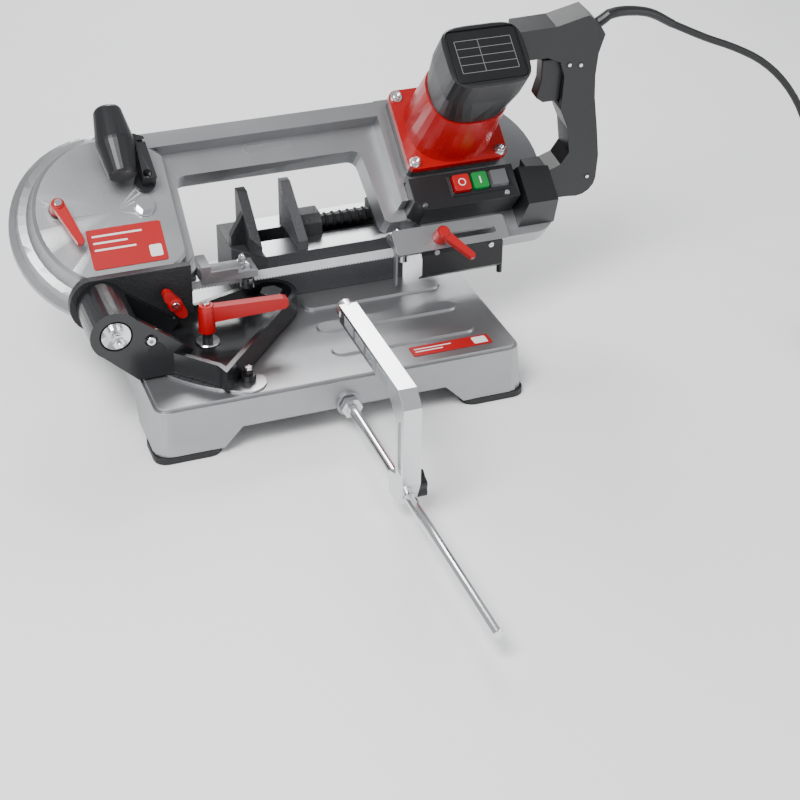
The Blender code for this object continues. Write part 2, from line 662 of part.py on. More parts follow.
def make_arm():
    """The swivel arm: a trough-shaped casting that carries the pivot barrel."""
    floor = BASE_TOP + ARM_LIFT
    outline = arm_outline()
    arm = to_object("swivel_arm", prism(outline, floor, BASE_TOP + ARM_WALL_TOP), "black_casting")
    pocket = inset(outline, ARM_RIM)
    cut(arm, prism(pocket, floor + ARM_FLOOR, BASE_TOP + 0.05))
    left, right = PIVOT_X + 0.0215, -0.1785
    web = [(PIVOT_X - 0.020, PIVOT_Z - 0.0203), (left, floor), (right, floor),
           (right + 0.0235, BASE_TOP + ARM_WALL_TOP - GAP), (PIVOT_X + 0.0235, PIVOT_Z + 0.0165)]
    belly = [(PIVOT_X - 0.021, PIVOT_Z - 0.020), (left, floor), (left + 0.008, floor),
             (left + 0.008, floor + ARM_FLOOR), (left, floor + ARM_FLOOR),
             (PIVOT_X - 0.006, PIVOT_Z - 0.020)]
    join(arm, upright(web, BARREL_FRONT, BARREL_FRONT + 0.008),
         upright(web, BARREL_BACK - 0.008, BARREL_BACK),
         upright(belly, BARREL_FRONT + 0.0005, BARREL_BACK - 0.0005),
         cylinder(BARREL_RADIUS, BARREL_FRONT - 0.0012, BARREL_BACK,
                  place(PIVOT_X, 0.0, PIVOT_Z, "y")))
    bore = place(PIVOT_X, 0.0, PIVOT_Z, "y")
    stud = polar(CLAMP_RADIUS, CLAMP_ANGLE)
    seat = BARREL_FRONT + SPRING_POCKET_DEPTH
    hollow = [(0.0, BARREL_FRONT - 0.01), (SPRING_POCKET_RADIUS, BARREL_FRONT - 0.01),
              (SPRING_POCKET_RADIUS, seat), (SHAFT_RADIUS + RUNNING, seat),
              (SHAFT_RADIUS + RUNNING, BARREL_BACK + 0.01), (0.0, BARREL_BACK + 0.01)]
    cut(arm, turned(hollow, 32, bore),
        cylinder(0.008 + RUNNING, 0.0, 0.2, place(SWIVEL_X, SWIVEL_Y, 0.0), 24),
        cylinder(CLAMP_STUD_RADIUS + GAP, 0.0, 0.2, place(stud[0], stud[1], 0.0), 24),
        cylinder(0.0075, BARREL_FRONT - 0.01, BARREL_FRONT + 0.004,
                 place(PIVOT_X + 0.0385, 0.0, PIVOT_Z - 0.013, "y"), 20))
    return [finish(arm, SWIVEL)]


def make_arm_fittings():
    """The mitre bolt, the clamp stud, and the clamp lever on it."""
    floor = BASE_TOP + ARM_LIFT + ARM_FLOOR
    at = place(SWIVEL_X, SWIVEL_Y, 0.0)
    bolt = to_object("mitre_bolt", cylinder(0.008, BASE_TOP - 0.016, floor + 0.001, at, 24),
                     "chromed_steel")
    join(bolt, hexagon(0.024, floor + RUNNING, floor + 0.010, at))
    x, y = polar(CLAMP_RADIUS, CLAMP_ANGLE)
    at = place(x, y, 0.0)
    stud = to_object("clamp_stud",
                     cylinder(CLAMP_STUD_RADIUS, BASE_TOP - 0.014, floor + 0.022, at, 20),
                     "black_steel")
    join(stud, cylinder(0.0125, BASE_TOP - 0.018, BASE_TOP - BASE_WALL - RUNNING, at, 24))
    base = floor + 0.015
    hub = turned([(0.0, floor + 0.0225), (CLAMP_STUD_RADIUS + GAP, floor + 0.0225),
                  (CLAMP_STUD_RADIUS + GAP, base), (0.0100, base), (0.0092, base + 0.028),
                  (0.0082, base + 0.034), (0.0, base + 0.034)], 24, at)
    lever = to_object("mitre_lever", hub, "red_plastic")
    handle = [(x + 0.003, base + 0.012), (x + 0.092, base + 0.014), (x + 0.096, base + 0.018),
              (x + 0.095, base + 0.026), (x + 0.090, base + 0.028), (x + 0.020, base + 0.031),
              (x + 0.003, base + 0.032)]
    join(lever, upright(handle, y - 0.0055, y + 0.0055))
    origin = (x, y, base)
    return [finish(bolt), finish(stud), finish(lever, origin)]


# ------------------------------------------------------------------ head pivot
PLATE_FRONT = BARREL_BACK + GAP
PLATE_BACK = PLATE_FRONT + PLATE_THICKNESS
PLATE_TOP = PIVOT_Z + PLATE_RADIUS - 0.004
KNOB_X = PIVOT_X + 0.0815
KNOB_Z = PIVOT_Z - 0.008


def make_pivot():
    """The head's pivot plate, its shaft with the spring cup, and the wing knob."""
    steps = 14
    turn = arc(PIVOT_X, PIVOT_Z, PLATE_RADIUS, radians(96.4), radians(270.0), steps)
    outline = [(PLATE_RIGHT, PLATE_BOTTOM), (PLATE_RIGHT, PLATE_TOP)]
    outline += [(px, min(pz, PLATE_TOP)) for px, pz in turn]
    outline += [(PIVOT_X + 0.012, PLATE_BOTTOM)]
    plate = to_object("pivot_plate", upright(outline, PLATE_FRONT, PLATE_BACK), "rough_iron")
    at = place(PIVOT_X, 0.0, PIVOT_Z, "y")
    knob_at = place(KNOB_X, 0.0, KNOB_Z, "y")
    cut(plate, cylinder(SHAFT_RADIUS + GAP, 0.0, 0.3, at), cylinder(0.0043, 0.0, 0.3, knob_at, 16))
    cup_back = BARREL_FRONT + SPRING_POCKET_DEPTH - RUNNING
    shaft = turned([(0.0, BARREL_FRONT - 0.013), (0.0050, BARREL_FRONT - 0.013),
                    (0.0062, BARREL_FRONT - 0.008), (0.0062, BARREL_FRONT - 0.0015),
                    (0.0068, BARREL_FRONT + 0.003), (0.0165, BARREL_FRONT - 0.001),
                    (SPRING_POCKET_RADIUS - RUNNING, BARREL_FRONT + 0.002),
                    (SPRING_POCKET_RADIUS - RUNNING, cup_back), (SHAFT_RADIUS, cup_back + 0.0002),
                    (SHAFT_RADIUS, PLATE_BACK - GAP), (0.0, PLATE_BACK - GAP)], 32, at)
    wings = []
    for i in range(40):
        angle = 2 * pi * i / 40
        radius = 0.0075 + 0.0135 * abs(cos(angle)) ** 6
        wings.append((radius * cos(angle), radius * sin(angle)))
    tilt = Matrix.Rotation(radians(58.0), 4, "Z")
    knob = to_object("wing_knob", prism(wings, PLATE_FRONT - 0.016, PLATE_FRONT - 0.006,
                                        knob_at @ tilt), "red_plastic")
    join(knob, cylinder(0.0068, PLATE_FRONT - 0.0062, PLATE_FRONT - GAP, knob_at, 20),
         cylinder(0.0040, PLATE_FRONT - 0.001, PLATE_BACK - 0.001, knob_at, 16))
    pivot = (PIVOT_X, PLATE_FRONT, PIVOT_Z)
    return [finish(plate, pivot), finish(to_object("pivot_shaft", shaft, "chromed_steel"), pivot),
            finish(knob, (KNOB_X, PLATE_FRONT - 0.006, KNOB_Z))]


# ------------------------------------------------------------------ head casting
LOW_CUT = BASE_TOP + 0.034   # the casting stays this far over the base
HOUSING_FACE = 0.016         # front face of the right housing
HOUSING_RIGHT = DRIVE_X + 0.107
HOUSING_BOTTOM = -0.010
HOUSING_LEFT = 0.160
PAD_LEFT = COLUMN_CREASE
PAD_BOTTOM = MOTOR_V - FLANGE_HEIGHT / 2 - 0.006


def flat(x, v, h):
    """A point of the head's plane while the casting still lies level."""
    return Matrix.Translation((x, v, h))


def head_prism(points, low, high, top=None):
    """A prism over an outline of (x, v), between two heights over the head's plane."""
    return prism(points, low, high, head_matrix(), top)


def head_block(low, high):
    """A box square with the head's plane."""
    return block(low, high, head_matrix())


def make_casting():
    """The C-shaped head casting: both wheel housings, the spine and the right column."""
    dome = [(0.0, BACK_FACE), (RING_RADIUS, BACK_FACE), (RING_RADIUS, -0.003),
            (RING_RADIUS - 0.007, 0.002), (RING_RADIUS - 0.010, 0.014), (DOME_RADIUS + 0.006, 0.017),
            (DOME_RADIUS + 0.002, 0.032), (DOME_RADIUS, 0.038), (DOME_RADIUS - 0.004, FRONT_FACE),
            (0.0, FRONT_FACE)]
    casting = to_object("head_casting", turned(dome, 56, flat(DOME_X, DOME_V, 0.0)),
                        "cast_aluminium")
    cut(casting, block((THROAT_LEFT, -0.2, -0.1), (0.1, 0.4, 0.1)),
        block((THROAT_LEFT - 0.014, -0.2, SHELF_FACE), (0.1, 0.4, 0.1)))
    lower = SPINE_CREASE
    band = [(DOME_X, lower), (MOTOR_X, lower), (MOTOR_X, SPINE_OUTER), (DOME_X, SPINE_OUTER)]
    crest = [(DOME_X, lower + 0.002), (MOTOR_X, lower + 0.002), (MOTOR_X, SPINE_OUTER - 0.003),
             (DOME_X, SPINE_OUTER - 0.003)]
    join(casting, prism(band, BACK_FACE, FRONT_FACE, top=crest))
    corner = 0.012
    left, right = THROAT_LEFT, THROAT_RIGHT
    shelf = [(left - 0.03, SPINE_INNER - 0.03), (left, SPINE_INNER - 0.03)]
    shelf += arc(left + corner, SPINE_INNER - corner, corner, pi, pi / 2, 4)
    shelf += arc(right - corner, SPINE_INNER - corner, corner, pi / 2, 0.0, 4)
    shelf += [(right + 0.006, 0.036), (right + 0.012, 0.031), (HOUSING_LEFT + 0.02, 0.031),
              (HOUSING_LEFT + 0.02, lower + 0.006), (left - 0.03, lower + 0.006)]
    join(casting, prism(shelf, BACK_FACE, SHELF_FACE))
    housing = arc(DRIVE_X, WHEEL_RADIUS, HOUSING_RIGHT - DRIVE_X - 0.009, 0.0, pi, 24)
    housing += [(HOUSING_LEFT, WHEEL_RADIUS - 0.02), (HOUSING_LEFT, HOUSING_BOTTOM)]
    housing += arc(HOUSING_RIGHT - 0.039, HOUSING_BOTTOM + 0.030, 0.030, -pi / 2, 0.0, 6)
    join(casting, prism(housing, BACK_FACE, HOUSING_FACE))
    pad = [(PAD_LEFT, 0.045), (HOUSING_LEFT - 0.0135, 0.045), (HOUSING_LEFT - 0.0135, PAD_BOTTOM),
           (DRIVE_X + 0.045, PAD_BOTTOM), (DRIVE_X + 0.045, SPINE_OUTER - 0.024),
           (DRIVE_X + 0.021, SPINE_OUTER), (PAD_LEFT, SPINE_OUTER)]
    join(casting, prism(pad, BACK_FACE, FRONT_FACE, top=inset(pad, 0.002)))
    boss = turned([(0.0, 0.030), (0.0135, 0.030), (0.0125, FRONT_FACE + 0.0015),
                   (0.0, FRONT_FACE + 0.0015)], 24)
    for x, v in ((GRIP_FOOT_X, GRIP_FOOT_V), (TENSION_BOLT_X, TENSION_BOLT_V),
                 (TENSION_X, TENSION_V)):
        copy = boss.copy()
        copy.transform(flat(x, v, 0.0))
        join(casting, copy)
    boss.free()
    deep = BACK_FACE - 0.01
    cut(casting, cylinder(POCKET_RADIUS, deep, 0.012, flat(IDLER_X, WHEEL_RADIUS, 0.0), 48),
        cylinder(0.078, 0.010, FRONT_FACE - HOUSING_WALL, flat(DOME_X - 0.008, 0.097, 0.0), 40),
        cylinder(POCKET_RADIUS, deep, HOUSING_FACE - HOUSING_WALL,
                 flat(DRIVE_X, WHEEL_RADIUS, 0.0), 48),
        block((IDLER_X, 2 * WHEEL_RADIUS - 0.009, deep),
                   (DRIVE_X, 2 * WHEEL_RADIUS + 0.0055, 0.020)),
        block((IDLER_X, -0.0065, -0.0105), (THROAT_LEFT + 0.01, 0.0085, 0.0105)),
        block((SWITCH_LEFT - GAP, SWITCH_LOW - GAP, HOUSING_FACE),
              (HOUSING_LEFT + 0.05, SWITCH_HIGH + GAP, 0.1)),
        block((HOUSING_LEFT - 0.01, -0.006, deep), (DRIVE_X, 0.0085, 0.0110)))
    wide = 1.0
    level = head_matrix().inverted()
    cut(casting, block((-wide, -wide, -wide), (-0.2785, wide, LOW_CUT - 0.022), level),
        block((-0.2790, -wide, -wide), (THROAT_LEFT + 0.01, wide, LOW_CUT), level),
        block((-wide, -wide, -wide), (PLATE_RIGHT + 0.011, PLATE_BACK + GAP, PLATE_TOP + 0.001),
              level))
    casting.data.transform(head_matrix())
    return [finish(casting, (PIVOT_X, PLATE_FRONT, PIVOT_Z))]


def make_cover():
    """The sheet cover that closes the casting's back, in one C-shaped piece."""
    low = BACK_FACE - GAP - COVER_THICKNESS
    high = BACK_FACE - GAP
    cover = to_object("rear_cover", prism(circle(DOME_X, DOME_V, RING_RADIUS - 0.002, 48),
                                               low, high), "black_steel")
    cut(cover, block((THROAT_LEFT - 0.001, -0.2, -0.1), (0.1, 0.4, 0.1)),
        block((-1.0, -1.0, -1.0), (0.0, 1.0, LOW_CUT + 0.001), head_matrix().inverted()))
    band = [(DOME_X, SPINE_INNER + 0.004), (0.1500, SPINE_INNER + 0.004),
            (0.1500, SPINE_OUTER - 0.001), (DOME_X, SPINE_OUTER - 0.001)]
    right = arc(DRIVE_X, WHEEL_RADIUS, HOUSING_RIGHT - DRIVE_X - 0.0105, 0.0, pi * 0.80, 20)
    right += [(0.1255, 0.150), (0.1255, 0.040), (HOUSING_LEFT + 0.001, 0.032),
              (HOUSING_LEFT + 0.001, HOUSING_BOTTOM + 0.001)]
    right += arc(HOUSING_RIGHT - 0.0405, HOUSING_BOTTOM + 0.030, 0.029, -pi / 2, 0.0, 6)
    join(cover, prism(band, low, high), prism(right, low, high))
    cover.data.transform(head_matrix())
    return [finish(cover)]


# ------------------------------------------------------------------ wheels and blade
WHEEL_STEPS = 48
HALF_BLADE = BLADE_THICKNESS / 2


def make_wheels():
    """The idler and drive wheels on their axles."""
    rim = WHEEL_RADIUS - HALF_BLADE - GAP
    half = WHEEL_WIDTH / 2
    bore = 0.006 + RUNNING
    profile = [(bore, -half), (0.016, -half), (0.018, -0.003), (rim - 0.008, -0.003),
               (rim - 0.006, -half), (rim, -half), (rim, half), (rim - 0.006, half),
               (rim - 0.008, 0.003), (0.018, 0.003), (0.016, half), (bore, half)]
    made = []
    for name, x, top in (("idler", IDLER_X, FRONT_FACE - HOUSING_WALL - GAP),
                         ("drive", DRIVE_X, HOUSING_FACE - HOUSING_WALL - GAP)):
        at = head_matrix(x, WHEEL_RADIUS, 0.0)
        wheel = to_object(name + "_wheel", turned(profile, WHEEL_STEPS, at), "cast_aluminium")
        holes = []
        for i in range(5):
            angle = 2 * pi * i / 5
            spot = head_matrix(x + 0.046 * cos(angle), WHEEL_RADIUS + 0.046 * sin(angle), 0.0)
            holes.append(cylinder(0.014, -0.02, 0.02, spot, 12))
        cut(wheel, *holes)
        axle = to_object(name + "_axle",
                         turned([(0.0, -0.0105), (0.009, -0.0105), (0.009, -half - GAP),
                                 (0.006, -half - GAP), (0.006, half + GAP), (0.009, half + GAP),
                                 (0.009, top), (0.0, top)], 24, at), "chromed_steel")
        centre = head_point(x, WHEEL_RADIUS, 0.0)
        made += [finish(wheel, centre), finish(axle)]
    return made


def blade_stations():
    """Stations round the loop: centre, width direction and outward direction."""
    stations = []
    turn = HEAD_TILT
    straight = ((IDLER_X, 1.0), (-0.165, 0.62), (-0.115, 0.28), (-0.078, 0.0), (0.150, 0.0),
                (0.178, 0.28), (0.205, 0.62), (DRIVE_X, 1.0))
    for x, amount in straight:
        lean = turn * amount
        width = Vector((0.0, -sin(lean), cos(lean)))
        out = Vector((0.0, -cos(lean), -sin(lean)))
        stations.append((Vector((x, BLADE_Y, BLADE_Z)), width, out))
    half_turn = WHEEL_STEPS // 2
    for centre_x, start in ((DRIVE_X, -pi / 2), (IDLER_X, pi / 2)):
        for i in range(half_turn + 1):
            if (centre_x == DRIVE_X and i == 0) or (centre_x == IDLER_X and i == half_turn):
                continue
            angle = start + pi * i / half_turn
            out = HEAD_X * cos(angle) + HEAD_V * sin(angle)
            centre = head_point(centre_x, WHEEL_RADIUS, 0.0) + out * WHEEL_RADIUS
            stations.append((centre, HEAD_N.copy(), out))
    return stations


def make_blade():
    """The endless blade: a thin band round both wheels, upright between its guides."""
    mesh = bmesh.new()
    rings = []
    for centre, width, out in blade_stations():
        corners = []
        for a, b in ((-1, -1), (1, -1), (1, 1), (-1, 1)):
            corners.append(mesh.verts.new(centre + width * (a * BLADE_WIDTH / 2)
                                          + out * (b * HALF_BLADE)))
        rings.append(corners)
    count = len(rings)
    for i in range(count):
        a, b = rings[i], rings[(i + 1) % count]
        for k in range(4):
            mesh.faces.new((a[k], a[(k + 1) % 4], b[(k + 1) % 4], b[k]))
    return [finish(to_object("saw_blade", mesh, "blade_steel"))]


# ------------------------------------------------------------------ blade guides
BEARING_RADIUS = 0.0085
BEARING_OFFSET = HALF_BLADE + BEARING_RADIUS + GAP
LEFT_GUIDE_X = -0.064
RIGHT_GUIDE_X = 0.1305
GUIDE_BOTTOM = BLADE_Z + 0.0085
GUIDE_TOP = GUIDE_BOTTOM + 0.009
BAR_LOW = 0.0345             # underside of the sliding bar over the head's plane
BAR_THICKNESS = 0.006


def bearings(side, x):
    """The bearings that ride on the blade's two faces."""
    made = []
    for place_name, y in (("front", BLADE_Y - BEARING_OFFSET), ("rear", BLADE_Y + BEARING_OFFSET)):
        bearing = tube(0.0025 + GAP, BEARING_RADIUS, BLADE_Z - 0.0058, BLADE_Z + 0.0064,
                       place(x, y, 0.0), 20)
        made.append(finish(to_object(f"{side}_{place_name}_bearing", bearing, "chromed_steel"),
                           (x, y, BLADE_Z)))
    return made


def add_pins(item, x):
    """Joins the bearings' upright pins, with their acorn nuts on top, to an end block."""
    low = BLADE_Z - 0.0080
    top = GUIDE_TOP
    for y in (BLADE_Y - BEARING_OFFSET, BLADE_Y + BEARING_OFFSET):
        join(item, turned([(0.0, low), (0.0042, low), (0.0042, low + 0.0016), (0.0025, low + 0.0018),
                           (0.0025, top - 0.001), (0.0046, top - 0.001), (0.0046, top + 0.004),
                           (0.0036, top + 0.0065), (0.0014, top + 0.008), (0.0, top + 0.008)],
                          12, place(x, y, 0.0)))


def make_left_guide():
    """The fixed guide arm, screwed to the left housing's side."""
    x = LEFT_GUIDE_X
    front, back = BLADE_Y - 0.0170, BLADE_Y + 0.0150
    side = [(front, GUIDE_BOTTOM), (back, GUIDE_BOTTOM), (back, GUIDE_TOP), (front, GUIDE_TOP)]
    arm = to_object("left_guide_arm", endways(side, THROAT_LEFT + GAP, x + 0.0115),
                    "cast_aluminium")
    join(arm, block((THROAT_LEFT + GAP, front, GUIDE_BOTTOM),
                    (THROAT_LEFT + 0.012, back, GUIDE_TOP + 0.014)),
         block((THROAT_LEFT + 0.010, front, GUIDE_TOP - 0.001),
               (x - 0.0120, front + 0.0035, GUIDE_TOP + 0.006)))
    add_pins(arm, x)
    return [finish(arm)] + bearings("left", x)


def make_right_guide():
    """The sliding guide: a slotted bar with its drop block and finger, the guard and the clamp."""
    x = RIGHT_GUIDE_X
    bar_left, bar_right = x - 0.018, x + 0.126
    low, high = BAR_LOW, BAR_LOW + BAR_THICKNESS
    outline = rounded(bar_left, -0.020, bar_right, 0.012, 0.004, 3)
    bar = to_object("guide_bar", head_prism(outline, low, high), "cast_aluminium")
    drop = [(head_point(0, -0.012, low).y, head_point(0, -0.012, low).z + 0.001),
            (BLADE_Y - 0.015, GUIDE_BOTTOM), (BLADE_Y + 0.015, GUIDE_BOTTOM),
            (BLADE_Y + 0.015, GUIDE_TOP), (BLADE_Y - 0.0145, GUIDE_TOP),
            (head_point(0, -0.001, low).y, head_point(0, -0.001, low).z + 0.001)]
    join(bar, endways(drop, bar_left + 0.006, x + 0.0115))
    add_pins(bar, x)
    slot = stadium(GUIDE_CLAMP_X - 0.0045, bar_right - 0.014, -0.006, 0.0043)
    cut(bar, head_prism(slot, low - 0.01, high + 0.01))
    front = head_point(0.0, -0.020, low)
    y, z = front.y - 0.0008, front.z
    sheet = [(y, z - 0.028), (y + 0.012, z - 0.037), (y + 0.0125, z - 0.0355),
             (y + 0.0015, z - 0.0272), (y + 0.0015, z - 0.0002), (y + 0.0005, z + 0.0055),
             (y - 0.001, z + 0.0055), (y, z)]
    sheet = [(py - 0.0035, pz - 0.001) for py, pz in sheet]
    guard = to_object("blade_guard", endways(sheet, x + 0.0135, bar_right - 0.010), "black_steel")
    finger_outline = [(BLADE_Y - 0.0195, GUIDE_TOP - 0.001), (BLADE_Y - 0.0175, BLADE_Z - 0.034),
                      (BLADE_Y - 0.0155, BLADE_Z - 0.037), (BLADE_Y - 0.0105, BLADE_Z - 0.030),
                      (BLADE_Y - 0.0105, GUIDE_TOP - 0.001)]
    join(bar, endways(finger_outline, bar_left + 0.0062, bar_left + 0.0087))
    clamp_at = head_matrix(GUIDE_CLAMP_X, -0.006, 0.0)
    seat = high + GAP
    hub = turned([(0.0, seat + 0.0004), (0.0095, seat + 0.0004), (0.0080, seat + 0.018),
                  (0.0062, seat + 0.021), (0.0, seat + 0.021)], 20, clamp_at)
    lever = to_object("guide_lever", hub, "red_plastic")
    turn = head_matrix(GUIDE_CLAMP_X, -0.006, 0.0) @ Matrix.Rotation(radians(-52.0), 4, "Z")
    handle = prism([(0.002, -0.0055), (0.045, -0.0040), (0.048, 0.0), (0.045, 0.0040),
                    (0.002, 0.0055)], seat + 0.010, seat + 0.0175, turn)
    join(lever, handle)
    pivot = head_point(GUIDE_CLAMP_X, -0.006, seat)
    return [finish(bar), finish(guard), finish(lever, pivot)] + bearings("right", x)


# ------------------------------------------------------------------ head fittings
GRIP_X = DOME_X + 0.0110
GRIP_V = 0.159
GRIP_H = 0.075
GRIP_LENGTH = 0.084
GRIP_FOOT_X = DOME_X + 0.0400
GRIP_FOOT_V = 0.1180
TENSION_X = -0.2675
TENSION_V = 0.0995
TENSION_BOLT_X = -0.1680
TENSION_BOLT_V = 0.0900
GUIDE_CLAMP_X = 0.1700


def make_front_fittings():
    """The tension lever with its collar, and the tension bolt."""
    seat = FRONT_FACE + 0.0015 + GAP
    at = head_matrix(TENSION_X, TENSION_V, 0.0)
    collar = to_object("tension_collar", tube(0.0055 + GAP, 0.0095, seat, seat + 0.004, at, 24),
                       "black_steel")
    hub = turned([(0.0, seat), (0.0055, seat), (0.0055, seat + 0.0043), (0.0088, seat + 0.0043),
                  (0.0078, seat + 0.020), (0.0060, seat + 0.023), (0.0, seat + 0.023)], 24, at)
    lever = to_object("tension_lever", hub, "red_plastic")
    turn = at @ Matrix.Rotation(radians(-72.0), 4, "Z")
    join(lever, prism([(0.002, -0.0070), (0.052, -0.0045), (0.055, 0.0), (0.052, 0.0045),
                       (0.002, 0.0070)], seat + 0.013, seat + 0.021, turn))
    bolt_at = head_matrix(TENSION_BOLT_X, TENSION_BOLT_V, 0.0)
    bolt = to_object("tension_bolt", hexagon(0.017, seat, seat + 0.009, bolt_at), "chromed_steel")
    join(bolt, cylinder(0.0115, seat, seat + 0.0015, bolt_at, 24))
    pivot = head_point(TENSION_X, TENSION_V, seat)
    return [finish(collar), finish(lever, pivot), finish(bolt)]


def make_grip():
    """The front grip on its bracket."""
    length = GRIP_LENGTH
    rotation = Matrix.Rotation(-pi / 2, 4, "X")
    at = head_matrix(GRIP_X, GRIP_V - length / 2, GRIP_H) @ rotation
    profile = [(0.0, 0.0), (0.0150, 0.0), (0.0165, 0.002), (0.0225, length * 0.46),
               (0.0225, length * 0.50), (0.0165, length - 0.003), (0.0145, length), (0.0, length)]
    grip = to_object("front_grip", turned(profile, 28, at), "black_plastic")
    seat = FRONT_FACE + 0.0015 + GAP
    foot = [(GRIP_FOOT_X, GRIP_FOOT_V)]
    plate = cylinder(0.0125, seat, seat + 0.006, head_matrix(*foot[0], 0.0), 24)
    bracket = to_object("grip_bracket", plate, "black_plastic")
    x0, x1 = GRIP_X + 0.0235, GRIP_FOOT_X + 0.010
    web = [(x0, GRIP_FOOT_V - 0.006), (x1, GRIP_FOOT_V - 0.006), (x1 - 0.004, GRIP_FOOT_V + 0.046),
           (x0, GRIP_FOOT_V + 0.052)]
    join(bracket, head_prism(web, seat + 0.001, GRIP_H - 0.004))
    cut(bracket, head_block((x0 - 0.01, GRIP_FOOT_V - 0.02, seat + 0.0065),
                            (x1 - 0.0165, GRIP_FOOT_V + 0.016, GRIP_H - 0.020)),
        cylinder(0.0230 + GAP, 0.0, length, at, 28),
        cylinder(0.0052, seat + 0.006, 0.2, head_matrix(*foot[0], 0.0), 16))
    spigot = cylinder(0.006, -0.004, 0.004,
                      head_matrix(x0 - 0.001, GRIP_V, GRIP_H - 0.010) @ Matrix.Rotation(pi / 2, 4, "Y"), 16)
    join(grip, spigot)
    cut(bracket, cylinder(0.006 + GAP, -0.02, 0.02,
                          head_matrix(x0 - 0.001, GRIP_V, GRIP_H - 0.010)
                          @ Matrix.Rotation(pi / 2, 4, "Y"), 16))
    return [finish(grip), finish(bracket)]


# ------------------------------------------------------------------ motor and switch
def make_motor():
    """The motor: gasket block, red housing and black end cap."""
    low = FRONT_FACE + GAP
    top = low + SPACER_THICKNESS
    half_w, half_h = FLANGE_WIDTH / 2, FLANGE_HEIGHT / 2
    x, v = MOTOR_X, MOTOR_V
    spacer_outline = rounded(x - half_w + 0.002, v - half_h + 0.002, x + half_w - 0.002,
                             v + half_h - 0.002, 0.008, 3)
    spacer = to_object("gasket_block", head_prism(spacer_outline, low, top - GAP), "black_plastic")
    flange = rounded(x - half_w, v - half_h, x + half_w, v + half_h, 0.010, 3)
    housing = to_object("motor_housing", head_prism(flange, top, top + FLANGE_THICKNESS),
                        "red_paint")
    wide = [(x + px, v + pv) for px, pv in superellipse(0.0545, 0.0500, 2.3)]
    narrow = [(x + px, v + pv) for px, pv in superellipse(0.0490, 0.0430, 2.6)]
    join(housing, head_prism(wide, top + FLANGE_THICKNESS - 0.001, CAP_BASE, top=narrow))
    inner = superellipse(0.0470, 0.0410, 2.6)
    shoulder = superellipse(CAP_WIDTH / 2, CAP_HEIGHT / 2, 4.5)
    cap_low = [(x + px, v + pv) for px, pv in inner]
    cap_mid = [(x + px, v + pv) for px, pv in shoulder]
    sections = ((cap_low, CAP_BASE + GAP), (cap_mid, CAP_BASE + 0.045), (cap_mid, MOTOR_TOP - 0.002),
                (inset(cap_mid, 0.002), MOTOR_TOP))
    cap = to_object("motor_cap", loft(sections, head_matrix()), "black_plastic")
    plate = rounded(x - 0.043, v - 0.033, x + 0.043, v + 0.033, 0.006, 3)
    cut(cap, head_prism(plate, MOTOR_TOP - 0.003, MOTOR_TOP + 0.01))
    return [finish(spacer), finish(housing), finish(cap)]


SWITCH_LEFT = MOTOR_X - 0.067
SWITCH_RIGHT = MOTOR_X + 0.067
SWITCH_LOW = 0.024
SWITCH_HIGH = PAD_BOTTOM - 0.0015
SWITCH_FACE = 0.060


def make_switch():
    """The switch box with its stop and start buttons and its clear window."""
    outline = [(SWITCH_LEFT, SWITCH_LOW + 0.012), (SWITCH_LEFT + 0.012, SWITCH_LOW),
               (SWITCH_RIGHT, SWITCH_LOW), (SWITCH_RIGHT, SWITCH_HIGH), (SWITCH_LEFT, SWITCH_HIGH)]
    box = to_object("switch_box", head_prism(outline, HOUSING_FACE + GAP, SWITCH_FACE),
                    "black_plastic")
    frame = rounded(MOTOR_X - 0.019, 0.0345, MOTOR_X + 0.057, 0.0625, 0.002, 2)
    join(box, head_prism(frame, SWITCH_FACE - 0.001, SWITCH_FACE + 0.003))
    made = []
    rows = (("off_button", MOTOR_X - 0.0165, 0.0225, "red_plastic", 0.0075),
            ("on_button", MOTOR_X + 0.0080, 0.0210, "green_plastic", 0.0065))
    face = SWITCH_FACE + 0.003
    for name, left, width, material, proud in rows:
        outline = rounded(left, 0.0375, left + width, 0.0595, 0.003, 2)
        cut(box, head_prism(outline, face - 0.009, face + 0.01))
        key = inset(outline, GAP)
        button = to_object(name, head_prism(key, face - 0.0055, face + proud - 0.001,
                                            top=inset(key, 0.0005)), material)
        middle = head_point(left + width / 2, 0.0485, face)
        made.append(finish(button, middle))
    window = rounded(MOTOR_X + 0.0315, 0.0375, MOTOR_X + 0.0545, 0.0595, 0.002, 2)
    glass = to_object("switch_window", head_prism(window, face + GAP, face + 0.006,
                                                  top=inset(window, 0.0015)), "clear_plastic")
    return [finish(box)] + made + [finish(glass)]


# ------------------------------------------------------------------ handle
HANDLE_Y = 0.186
HANDLE_Z = BLADE_Z + 0.029
HANDLE_DEPTH = 0.032
HANDLE_LEAN = radians(9.7)


def handle_matrix():
    """The handle's own plane: local x along X, local y up the handle, z to the front."""
    up = Vector((0.0, -sin(HANDLE_LEAN), cos(HANDLE_LEAN)))
    front = HEAD_X.cross(up)
    rotation = Matrix((HEAD_X, up, front)).transposed().to_4x4()
    return Matrix.Translation((0.0, HANDLE_Y, HANDLE_Z)) @ rotation


